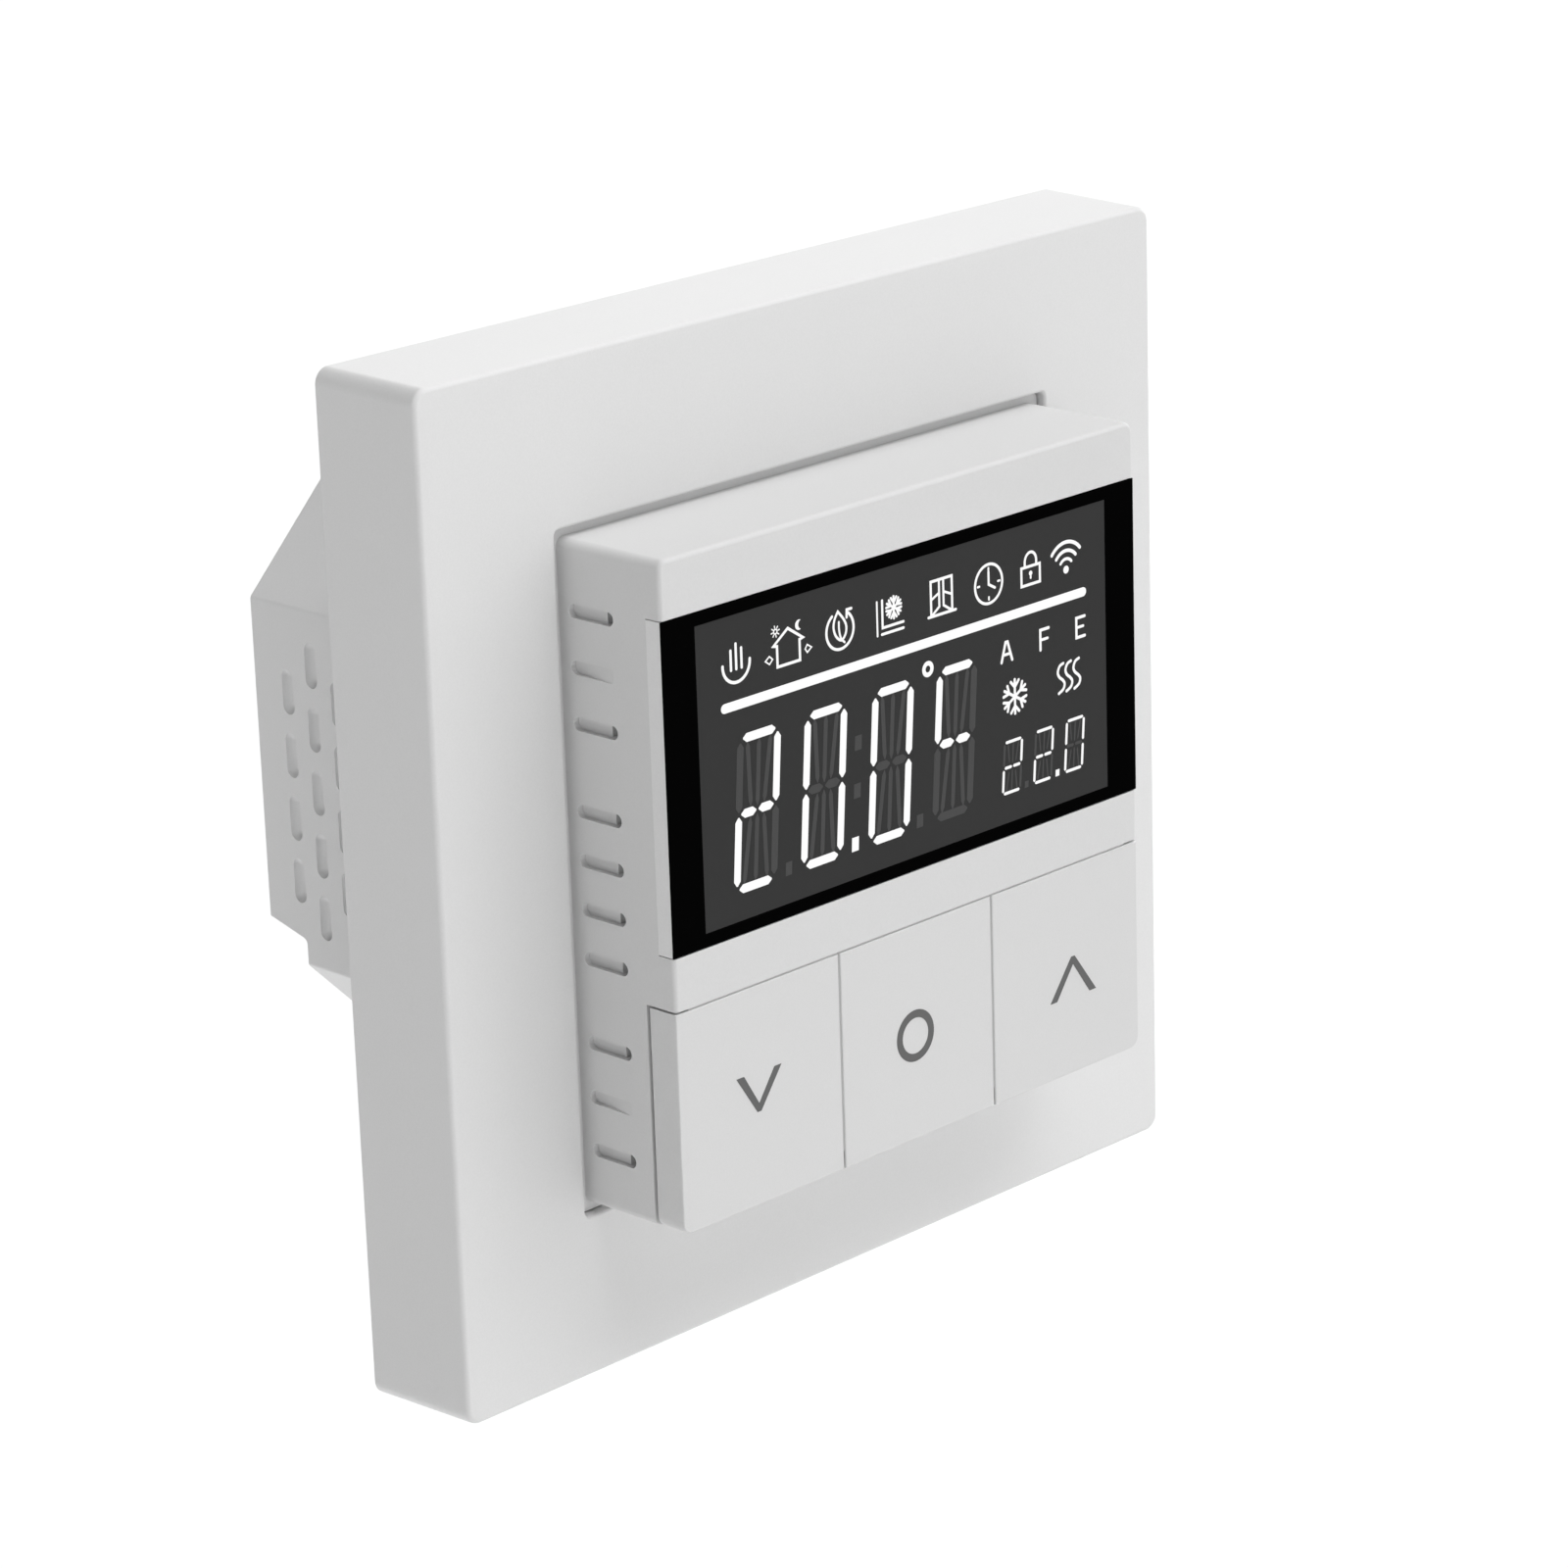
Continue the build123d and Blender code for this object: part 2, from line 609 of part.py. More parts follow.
with BuildPart() as housing_screws:
    with BuildSketch(Plane.XZ.offset(flange_height)):
        with GridLocations(housing_screw_spacing, housing_screw_spacing, 2, 2):
            Circle(1.9)
    extrude(amount=1.3)
    fillet(housing_screws.edges().group_by(Axis.Y)[0], 0.5)
    with BuildSketch(Plane.XZ.offset(flange_height)):
        with GridLocations(housing_screw_spacing, housing_screw_spacing, 2, 2):
            Circle(0.98)
    extrude(amount=-flange_height + 0.1)
    with BuildSketch(Plane.XZ.offset(flange_height + 1.3)):
        with GridLocations(housing_screw_spacing, housing_screw_spacing, 2, 2):
            Rectangle(2.2, 0.5)
            Rectangle(0.5, 2.2)
    extrude(amount=-0.7, mode=Mode.SUBTRACT)
housing_screws.part.label = "housing_screws"
export_step(housing_screws.part, "parts/housing_screws.step")

# ----------------------------------------------------------------- power board
power_board_back = power_board_depth + board_thickness
with BuildPart() as power_pcb:
    with BuildSketch(Plane.XZ.offset(-power_board_depth)):
        add(board_octagon.sketch)
    extrude(amount=-board_thickness)
power_pcb.part.label = "power_pcb"
export_step(power_pcb.part, "parts/power_pcb.step")

with BuildPart() as board_header:
    with BuildSketch(Plane.XZ.offset(-power_board_depth)):
        with Locations((socket_x, socket_z)):
            Rectangle(15.2, 5.0)
    extrude(amount=2.5)
    with BuildSketch(Plane.XZ.offset(-power_board_depth + 2.5)):
        with Locations((socket_x, socket_z)):
            with GridLocations(pin_pitch, pin_pitch, 6, 2):
                Rectangle(0.64, 0.64)
    extrude(amount=9.5)
board_header.part.label = "board_header"
export_step(board_header.part, "parts/board_header.step")

with BuildPart() as relay:
    with BuildSketch(Plane.XZ.offset(-power_board_back)):
        with Locations((0, 14.6)):
            RectangleRounded(28.6, 12.6, 0.6)
    extrude(amount=-15.7)
    fillet(relay.faces().sort_by(Axis.Y)[-1].edges(), 0.5)
relay.part.label = "relay"
export_step(relay.part, "parts/relay.step")

with BuildPart() as power_module:
    with BuildSketch(Plane.XZ.offset(-power_board_back)):
        with Locations((-9.5, -3.0)):
            RectangleRounded(23.0, 18.0, 0.8)
    extrude(amount=-15.0)
    fillet(power_module.faces().sort_by(Axis.Y)[-1].edges(), 0.6)
power_module.part.label = "power_module"
export_step(power_module.part, "parts/power_module.step")

with BuildPart() as filter_capacitor:
    with BuildSketch(Plane.XZ.offset(-power_board_back)):
        with Locations((12.5, 3.4)):
            RectangleRounded(17.5, 7.0, 0.6)
    extrude(amount=-12.5)
    fillet(filter_capacitor.faces().sort_by(Axis.Y)[-1].edges(), 0.5)
filter_capacitor.part.label = "filter_capacitor"
export_step(filter_capacitor.part, "parts/filter_capacitor.step")

with BuildPart() as smoothing_capacitor:
    with BuildSketch(Plane.XZ.offset(-power_board_back)):
        with Locations((8.0, -6.6)):
            Circle(4.0)
    extrude(amount=-12.0)
    fillet(smoothing_capacitor.edges().sort_by(Axis.Y)[-1], 0.5)
    # Vent score across the can's end
    with BuildSketch(Plane.XZ.offset(-power_board_back - 12.0)):
        with Locations((8.0, -6.6)):
            Rectangle(4.4, 0.3)
            Rectangle(0.3, 4.4)
    extrude(amount=0.15, mode=Mode.SUBTRACT)
smoothing_capacitor.part.label = "smoothing_capacitor"
export_step(smoothing_capacitor.part, "parts/smoothing_capacitor.step")

with BuildPart() as fuse:
    with BuildSketch(Plane.XZ.offset(-power_board_back)):
        with Locations((17.0, -6.6)):
            RectangleRounded(8.4, 4.2, 0.5)
    extrude(amount=-8.0)
    fillet(fuse.faces().sort_by(Axis.Y)[-1].edges(), 0.4)
fuse.part.label = "fuse"
export_step(fuse.part, "parts/fuse.step")

# ------------------------------------------------------------------- terminals
block_top = -13.4
block_bottom = -21.5
block_back = step_depth - housing_wall
clamp_depth = 18.0
with BuildPart() as terminal_block:
    with BuildSketch(Plane.XZ.offset(-power_board_back)):
        with Locations((0, block_bottom)):
            Rectangle(30.6, block_top - block_bottom, align=(Align.CENTER, Align.MIN))
    extrude(amount=-block_back + power_board_back)
    # Chambers for the clamps, open from below, and funnels for the wires
    with BuildSketch(Plane.XY.offset(block_bottom)):
        with Locations((0, clamp_depth)):
            with GridLocations(terminal_pitch, 0, terminal_count, 1):
                Rectangle(3.9, 6.2)
    extrude(amount=6.5, mode=Mode.SUBTRACT)
    with BuildSketch(Plane.XZ.offset(-block_back)):
        with Locations((0, terminal_level)):
            with GridLocations(terminal_pitch, 0, terminal_count, 1):
                Circle(1.5)
    extrude(amount=block_back - 12.0, mode=Mode.SUBTRACT)
    with BuildSketch(Plane.XY.offset(block_bottom)):
        with Locations((0, 8.0)):
            with GridLocations(terminal_pitch, 0, terminal_count, 1):
                Rectangle(3.4, 3.0)
    extrude(amount=3.0, mode=Mode.SUBTRACT)
terminal_block.part.label = "terminal_block"
export_step(terminal_block.part, "parts/terminal_block.step")

with BuildPart() as terminal_clamps:
    with BuildSketch(Plane.XY.offset(-20.5)):
        with Locations((0, clamp_depth)):
            with GridLocations(terminal_pitch, 0, terminal_count, 1):
                Rectangle(3.8, 6.0)
    extrude(amount=5.4)
    with BuildSketch(Plane.XZ.offset(-clamp_depth - 4)):
        with Locations((0, terminal_level)):
            with GridLocations(terminal_pitch, 0, terminal_count, 1):
                Circle(1.5)
    extrude(amount=8, mode=Mode.SUBTRACT)
    with BuildSketch(Plane.XY.offset(-20.5)):
        with Locations((0, clamp_depth)):
            with GridLocations(terminal_pitch, 0, terminal_count, 1):
                Circle(1.1)
    extrude(amount=2.5, mode=Mode.SUBTRACT)
terminal_clamps.part.label = "terminal_clamps"
export_step(terminal_clamps.part, "parts/terminal_clamps.step")

with BuildPart() as terminal_screws:
    with BuildSketch(Plane.XY.offset(-20.5)):
        with Locations((0, clamp_depth)):
            with GridLocations(terminal_pitch, 0, terminal_count, 1):
                Circle(1.6)
    extrude(amount=-0.9)
    with BuildSketch(Plane.XY.offset(-20.5)):
        with Locations((0, clamp_depth)):
            with GridLocations(terminal_pitch, 0, terminal_count, 1):
                Circle(1.08)
    extrude(amount=1.4)
    with BuildSketch(Plane.XY.offset(-21.4)):
        with Locations((0, clamp_depth)):
            with GridLocations(terminal_pitch, 0, terminal_count, 1):
                Rectangle(3.4, 0.5)
    extrude(amount=0.5, mode=Mode.SUBTRACT)
terminal_screws.part.label = "terminal_screws"
export_step(terminal_screws.part, "parts/terminal_screws.step")
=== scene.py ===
"""Wall thermostat: finishes, display figures, key symbols and studio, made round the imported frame."""

import math

import bmesh
import bpy
from mathutils import Matrix, Vector


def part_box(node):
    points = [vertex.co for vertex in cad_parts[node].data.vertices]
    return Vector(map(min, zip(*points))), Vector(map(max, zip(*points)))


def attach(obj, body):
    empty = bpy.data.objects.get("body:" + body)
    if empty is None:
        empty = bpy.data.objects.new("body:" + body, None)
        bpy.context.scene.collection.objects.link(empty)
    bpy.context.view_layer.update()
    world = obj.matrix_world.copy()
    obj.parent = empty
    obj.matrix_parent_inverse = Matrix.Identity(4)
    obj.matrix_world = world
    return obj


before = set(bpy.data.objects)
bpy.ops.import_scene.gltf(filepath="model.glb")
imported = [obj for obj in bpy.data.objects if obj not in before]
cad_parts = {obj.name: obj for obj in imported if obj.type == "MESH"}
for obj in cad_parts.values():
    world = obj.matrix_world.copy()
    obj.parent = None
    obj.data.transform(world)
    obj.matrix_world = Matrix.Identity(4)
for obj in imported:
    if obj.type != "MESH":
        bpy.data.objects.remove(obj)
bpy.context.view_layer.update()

bl_info = {
    "name": "Wall thermostat",
    "version": (1, 0, 0),
    "blender": (4, 5, 0),
    "location": "View3D > Sidebar > Thermostat",
    "description": "Finishes, display and key symbols of a flush wall thermostat",
    "category": "Object",
}

MM = 0.001
BODY = "thermostat"
KEYS = {"down": "down_key", "mode": "mode_key", "up": "up_key"}
FILM_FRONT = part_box("lcd_polariser")[0].y
KEY_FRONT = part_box("mode_button")[0].y


# ---------------------------------------------------------------- settings


def colour_setting(name, description, default):
    """A colour that a user can change, in linear light."""
    return bpy.props.FloatVectorProperty(
        name=name, description=description, default=default, size=3, subtype="COLOR", min=0, max=1
    )


def length_setting(name, description, default):
    """A length in metres that a user can change; the default is given in millimetres."""
    return bpy.props.FloatProperty(
        name=name, description=description, default=default * MM, unit="LENGTH", precision=5
    )


def angle_setting(name, description, default):
    """An angle that a user can change; the default is given in degrees."""
    return bpy.props.FloatProperty(
        name=name, description=description, default=math.radians(default), subtype="ANGLE"
    )


class ThermostatShellSettings(bpy.types.PropertyGroup):
    """Colours and grain of the white mouldings."""

    plastic: colour_setting("Plastic", "White plastic of the cover frame", (0.69, 0.69, 0.69))
    insert: colour_setting("Insert plastic", "White plastic of the insert and keys", (0.62, 0.62, 0.62))
    housing: colour_setting("Housing plastic", "Plastic of the box in the wall", (0.71, 0.71, 0.71))
    steel: colour_setting("Steel", "Galvanised mounting plate", (0.52, 0.53, 0.55))
    grain_size: length_setting("Grain size", "Width of one grain of the moulded surface", 0.28)
    grain_depth: length_setting("Grain depth", "Height of the moulded grain", 0.006)
    symbol: colour_setting("Key symbol", "Print on the keys", (0.125, 0.125, 0.125))


class ThermostatDisplaySettings(bpy.types.PropertyGroup):
    """Colours and sizes of the display."""

    border: colour_setting("Border", "Printed black border", (0.0014, 0.0014, 0.0014))
    film: colour_setting("Film", "Dark display film", (0.0365, 0.0365, 0.0365))
    ghost: colour_setting("Unlit segment", "Segments that are switched off", (0.062, 0.062, 0.062))
    lit: colour_setting("Lit segment", "Segments that are switched on", (1.0, 1.0, 1.0))
    glow: bpy.props.FloatProperty(
        name="Glow", description="Strength of the lit segments", default=1.0, min=0, max=10
    )
    figure_width: length_setting("Figure stroke", "Stroke of the large figures", 0.72)
    small_width: length_setting("Small stroke", "Stroke of the small figures", 0.25)
    icon_width: length_setting("Icon stroke", "Stroke of the icons", 0.235)
    slant: bpy.props.FloatProperty(
        name="Slant", description="Sideways lean of the figures for each unit of height", default=0.079
    )


class ThermostatStageSettings(bpy.types.PropertyGroup):
    """Floor, light and camera."""

    floor: colour_setting("Floor", "Colour of the plain floor", (0.93, 0.93, 0.93))
    floor_drop: length_setting("Floor drop", "Depth of the floor below the part's middle", 260.0)
    floor_reach: length_setting("Floor reach", "Distance from the part to the floor's edges", 20000.0)
    ambient: bpy.props.FloatProperty(
        name="Ambient", description="Strength of the bright band round the horizon", default=0.8, min=0
    )
    lens: bpy.props.FloatProperty(
        name="Lens", description="Focal length in millimetres on a 36 mm sensor", default=119.234, min=1
    )
    azimuth: angle_setting("Azimuth", "Camera's turn round the part, minus towards its left", -45.343)
    elevation: angle_setting("Elevation", "Camera's height above level", 17.768)
    roll: angle_setting("Roll", "Camera's roll", -1.874)
    distance: length_setting("Distance", "Camera to the part's origin along its axis", 432.891)
    aside: length_setting("Aside", "Camera's shift to its own right", 4.712)
    above: length_setting("Above", "Camera's shift up", -1.206)


# ---------------------------------------------------------------- shader maths


class Term:
    """A socket in a node tree, so that shader maths reads as an expression."""

    def __init__(self, tree, socket):
        self.tree = tree
        self.socket = socket

    def _math(self, operation, *values):
        return wire(self.tree, "ShaderNodeMath", {"operation": operation}, dict(enumerate(values)))

    def __add__(self, other):
        return self._math("ADD", self, other)

    __radd__ = __add__

    def __sub__(self, other):
        return self._math("SUBTRACT", self, other)

    def __rsub__(self, other):
        return self._math("SUBTRACT", other, self)

    def __mul__(self, other):
        return self._math("MULTIPLY", self, other)

    __rmul__ = __mul__

    def __truediv__(self, other):
        return self._math("DIVIDE", self, other)

    def __pow__(self, other):
        return self._math("POWER", self, other)

    def __abs__(self):
        return self._math("ABSOLUTE", self)

    def above(self, level):
        return self._math("GREATER_THAN", self, level)

    def fraction(self):
        return self._math("FRACT", self)

    def clamp(self):
        return self._math("MINIMUM", self._math("MAXIMUM", self, 0.0), 1.0)

    def scaled(self, factor):
        """A vector times a number or a triple."""
        triple = (factor, factor, factor) if isinstance(factor, (int, float)) else factor
        return wire(self.tree, "ShaderNodeVectorMath", {"operation": "MULTIPLY"}, {0: self, 1: triple})

    def ramp(self, low, high):
        """This value mapped so that low gives 0 and high gives 1."""
        settings = {"clamp": True}
        values = {"Value": self, "From Min": low, "From Max": high}
        return wire(self.tree, "ShaderNodeMapRange", settings, values, "Result")


def wire(tree, kind, settings=None, values=None, output=0):
    """Adds a node: its settings first, then the values or links of its sockets."""
    node = tree.nodes.new(kind)
    for key, value in (settings or {}).items():
        setattr(node, key, value)
    for key, value in (values or {}).items():
        target = node.inputs[key]
        if isinstance(value, Term):
            tree.links.new(value.socket, target)
        elif isinstance(value, tuple) and len(value) == 3 and target.type == "RGBA":
            target.default_value = (*value, 1.0)
        else:
            target.default_value = value
    return Term(tree, node.outputs[output])


class Finish:
    """One material: a shader with its surface detail."""

    def __init__(self, name):
        self.material = bpy.data.materials.new(name)
        self.material.use_nodes = True
        self.tree = self.material.node_tree
        self.shader = self.tree.nodes["Principled BSDF"]

    def node(self, kind, settings=None, values=None, output=0):
        return wire(self.tree, kind, settings, values, output)

    def place(self):
        """Where a point lies on the part, in metres."""
        return self.node("ShaderNodeTexCoord", output="Object")

    def axis(self, place, letter):
        return self.node("ShaderNodeSeparateXYZ", values={0: place}, output=letter)

    def noise(self, place, size, detail=2.0, roughness=0.5):
        """Cloudy value from 0 to 1 with features about this size, in metres."""
        values = {"Vector": place, "Scale": 1.0 / size, "Detail": detail, "Roughness": roughness}
        return self.node("ShaderNodeTexNoise", values=values, output="Fac")

    def cells(self, place, size, feature="F1", output="Distance"):
        values = {"Vector": place, "Scale": 1.0 / size}
        return self.node("ShaderNodeTexVoronoi", {"feature": feature}, values, output)

    def mix(self, factor, first, second):
        """Blend of two colours."""
        settings = {"data_type": "RGBA"}
        return self.node("ShaderNodeMix", settings, {0: factor, 6: first, 7: second}, 2)

    def bump(self, height, distance, strength=1.0):
        """A normal raised by height, a value from 0 to 1, times distance in metres."""
        values = {"Height": height, "Distance": distance, "Strength": strength}
        return self.node("ShaderNodeBump", values=values)

    def set(self, **values):
        """Values or links of the shader's own sockets; underscores stand for spaces."""
        for key, value in values.items():
            target = self.shader.inputs[key.replace("_", " ")]
            if isinstance(value, Term):
                self.tree.links.new(value.socket, target)
            elif isinstance(value, tuple) and len(value) == 3:
                target.default_value = (*value, 1.0)
            else:
                target.default_value = value
        return self


def shade(colour, factor):
    """A colour made darker or lighter."""
    return tuple(min(1.0, c * factor) for c in colour)


# ---------------------------------------------------------------- finishes


def grained_plastic(name, colour, size, depth, roughness=0.55, specular=0.35):
    """Fine matte grain of a moulded shell, with a faint drift in tone and gloss."""
    f = Finish(name)
    place = f.place()
    grain = f.noise(place, size, detail=3.0, roughness=0.6)
    pits = f.cells(place, size * 0.7)
    drift = f.noise(place, 18 * MM, detail=1.0)
    speck = f.noise(place, size * 0.55, detail=1.0).ramp(0.3, 0.7)
    tone = (speck * 0.6 + drift * 0.4).clamp()
    f.set(
        Base_Color=f.mix(tone, shade(colour, 0.975), shade(colour, 1.02)),
        Roughness=(roughness - 0.05) + grain * 0.1,
        Normal=f.bump(grain * 0.7 + pits * 0.3, depth),
        Specular_IOR_Level=specular,
    )
    return f.material


def moulded_plastic(name, colour, roughness=0.45, size=0.5 * MM, depth=0.01 * MM):
    """Plain technical moulding with flow marks and a light texture."""
    f = Finish(name)
    place = f.place()
    flow = f.noise(place.scaled((1.0, 0.25, 1.0)), 4 * MM, detail=3.0)
    grain = f.noise(place, size, detail=2.0)
    f.set(
        Base_Color=f.mix(flow, shade(colour, 0.85), shade(colour, 1.12)),
        Roughness=(roughness - 0.08) + grain * 0.16,
        Normal=f.bump(grain, depth),
    )
    return f.material


def black_print(name, colour):
    """Deep black ink behind a clear coat, with the faint texture of a screen print."""
    f = Finish(name)
    place = f.place()
    mesh = f.noise(place, 0.12 * MM, detail=1.0)
    f.set(
        Base_Color=f.mix(mesh, shade(colour, 0.7), shade(colour, 1.3)),
        Roughness=0.5 + mesh * 0.1,
        Normal=f.bump(mesh, 0.001 * MM),
        Specular_IOR_Level=0.0,
    )
    return f.material


def display_film(name, colour):
    """Dark grey film with the faint rows of the display under it."""
    f = Finish(name)
    place = f.place()
    pitch = 0.15 * MM
    rows = abs((f.axis(place, "Z") / pitch).fraction() - 0.5) * 2.0
    cloud = f.noise(place, 9 * MM, detail=1.0)
    tone = (rows * 0.25 + cloud * 0.75).clamp()
    f.set(
        Base_Color=f.mix(tone, shade(colour, 0.96), shade(colour, 1.04)),
        Roughness=0.5 + cloud * 0.1,
        Specular_IOR_Level=0.02,
    )
    return f.material


def lit_ink(name, colour, strength):
    """A lit segment whose glow is slightly uneven."""
    f = Finish(name)
    drift = f.noise(f.place(), 3 * MM, detail=1.0)
    f.set(
        Base_Color=(0.02, 0.02, 0.02),
        Roughness=0.6,
        Specular_IOR_Level=0.0,
        Emission_Color=f.mix(drift, shade(colour, 0.96), colour),
        Emission_Strength=strength,
    )
    return f.material


def flat_ink(name, colour, spread=0.05):
    """Printed ink with a slightly uneven tone."""
    f = Finish(name)
    speck = f.noise(f.place(), 0.2 * MM, detail=2.0)
    f.set(
        Base_Color=f.mix(speck, shade(colour, 1 - spread), shade(colour, 1 + spread)),
        Roughness=0.6 + speck * 0.1,
        Specular_IOR_Level=0.1,
    )
    return f.material


def galvanised_steel(name, colour):
    """Zinc-plated sheet: soft crystals and rolling lines."""
    f = Finish(name)
    place = f.place()
    crystal = f.cells(place, 1.6 * MM, output="Color")
    value = f.node("ShaderNodeSeparateColor", values={0: crystal}, output="Red")
    rolling = f.noise(place.scaled((1.0, 1.0, 14.0)), 1.2 * MM, detail=3.0)
    tone = (value * 0.5 + rolling * 0.5).clamp()
    f.set(
        Base_Color=f.mix(tone, shade(colour, 0.82), shade(colour, 1.12)),
        Metallic=1.0,
        Roughness=0.3 + tone * 0.22,
        Normal=f.bump(rolling, 0.006 * MM),
    )
    return f.material


def plain_metal(name, colour, roughness=0.28):
    """Small plated metal parts with fine tumbling marks."""
    f = Finish(name)
    marks = f.noise(f.place(), 0.4 * MM, detail=4.0, roughness=0.7)
    f.set(
        Base_Color=f.mix(marks, shade(colour, 0.85), shade(colour, 1.1)),
        Metallic=1.0,
        Roughness=roughness + marks * 0.15,
        Normal=f.bump(marks, 0.004 * MM),
    )
    return f.material


def circuit_board(name, colour):
    """Green solder mask over copper tracks, with tinned pads."""
    f = Finish(name)
    place = f.place()
    lanes = f.cells(place.scaled((1.0, 0.0, 0.35)), 1.5 * MM, "DISTANCE_TO_EDGE")
    track = 1 - lanes.ramp(0.04, 0.09)
    pads = 1 - f.cells(place.scaled((1.0, 0.0, 1.0)), 2.4 * MM).ramp(0.10, 0.14)
    edge = abs(f.axis(f.node("ShaderNodeNewGeometry", output="Normal"), "Y")).above(0.7)
    board = f.mix(track, colour, shade(colour, 1.7))
    tinned = f.mix(pads * edge, board, (0.62, 0.61, 0.57))
    f.set(
        Base_Color=f.mix(edge, (0.30, 0.27, 0.14), tinned),
        Metallic=pads * edge * 0.9,
        Roughness=0.34 + track * 0.08,
        Normal=f.bump((track + pads).clamp(), 0.03 * MM),
    )
    return f.material


def clear_glass(name, colour):
    """Thin display glass with a pale green edge."""
    f = Finish(name)
    cloud = f.noise(f.place(), 6 * MM)
    f.set(
        Base_Color=f.mix(cloud, shade(colour, 0.97), colour),
        Roughness=0.05 + cloud * 0.03,
        Alpha=0.35,
        Specular_IOR_Level=0.5,
    )
    return f.material


def dotted_guide(name, colour):
    """Light guide whose back carries a grid of bright dots."""
    f = Finish(name)
    dots = 1 - f.cells(f.place(), 1.0 * MM).ramp(0.2, 0.3)
    f.set(
        Base_Color=f.mix(dots, shade(colour, 0.9), colour),
        Roughness=0.35 + dots * 0.2,
        Normal=f.bump(dots, 0.02 * MM),
    )
    return f.material


def plain_floor(name, colour):
    """Pale studio floor with a barely visible mottle."""
    f = Finish(name)
    mottle = f.noise(f.place(), 90 * MM, detail=3.0)
    f.set(
        Base_Color=f.mix(mottle, shade(colour, 0.995), colour),
        Roughness=0.9,
        Specular_IOR_Level=0.0,
    )
    return f.material


def dress(material, *nodes):
    """Gives a finish to parts of the frame; their shapes stay as they are."""
    for name in nodes:
        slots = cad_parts[name].data.materials
        if not len(slots):
            slots.append(material)
        for index in range(len(slots)):
            slots[index] = material


# ---------------------------------------------------------------- flat shapes


def arc(cx, cz, radius, start, end, steps=24, rise=None):
    """Points of an arc in degrees, anticlockwise from the right; rise is the height of an ellipse."""
    tall = radius if rise is None else rise
    turn = [math.radians(start + (end - start) * i / steps) for i in range(steps + 1)]
    return [(cx + radius * math.cos(a), cz + tall * math.sin(a)) for a in turn]


def smooth_line(points, steps=8):
    """A smooth path through points, rounding between them."""
    ends = [points[0], *points, points[-1]]
    out = []
    for a, b, c, d in zip(ends, ends[1:], ends[2:], ends[3:]):
        for i in range(steps):
            t = i / steps
            weights = (
                -0.5 * t + t * t - 0.5 * t**3,
                1 - 2.5 * t * t + 1.5 * t**3,
                0.5 * t + 2 * t * t - 1.5 * t**3,
                -0.5 * t * t + 0.5 * t**3,
            )
            out.append(tuple(sum(w * p[k] for w, p in zip(weights, (a, b, c, d))) for k in (0, 1)))
    return out + [points[-1]]


def patch(outline):
    """A flat patch inside one convex outline."""
    return list(outline), [list(range(len(outline)))]


def stroke(points, width, closed=False, round_ends=True):
    """A pen stroke along points: a strip of quads with half-round ends."""
    path = [Vector(p) for p in points]
    count = len(path)
    half = width / 2
    left, right = [], []
    for i, p in enumerate(path):
        before = path[(i - 1) % count] if closed or i else None
        after = path[(i + 1) % count] if closed or i < count - 1 else None
        into = (p - before).normalized() if before is not None else (after - p).normalized()
        out = (after - p).normalized() if after is not None else into
        side = Vector((-(into + out).y, (into + out).x)).normalized()
        reach = half / max(0.45, side.dot(Vector((-into.y, into.x))))
        left.append(p + side * reach)
        right.append(p - side * reach)
    verts = [tuple(v) for v in left + right]
    last = count if closed else count - 1
    faces = [[i, count + i, count + (i + 1) % count, (i + 1) % count] for i in range(last)]
    if round_ends and not closed:
        for end, other in ((0, 1), (count - 1, count - 2)):
            lean = (path[end] - path[other]).normalized()
            heading = math.degrees(math.atan2(lean.y, lean.x))
            cap = arc(path[end].x, path[end].y, half, heading - 90, heading + 90, 10)[1:-1]
            first, second = (end, count + end) if end == 0 else (count + end, end)
            base = len(verts)
            verts += cap
            faces.append([first, *range(base, base + len(cap)), second])
    return verts, faces


def bar(x0, z0, x1, z1, width, tip):
    """A straight segment with a pointed hexagonal end at each end."""
    a, b = Vector((x0, z0)), Vector((x1, z1))
    run = (b - a).normalized()
    side = Vector((-run.y, run.x)) * width / 2
    blunt = side * 0.16
    return patch(
        [
            a + blunt,
            a - blunt,
            a + run * tip - side,
            b - run * tip - side,
            b - blunt,
            b + blunt,
            b - run * tip + side,
            a + run * tip + side,
        ]
    )


def disc(cx, cz, radius, steps=28):
    """A filled circle."""
    return patch(arc(cx, cz, radius, 0, 360, steps)[:-1])


def ring(cx, cz, radius, width, steps=48):
    """A circle drawn with a stroke, radius to the stroke's middle."""
    return stroke(arc(cx, cz, radius, 0, 360, steps)[:-1], width, closed=True)


LAYERS = 5
LAYER_STEP = 0.0004 * MM


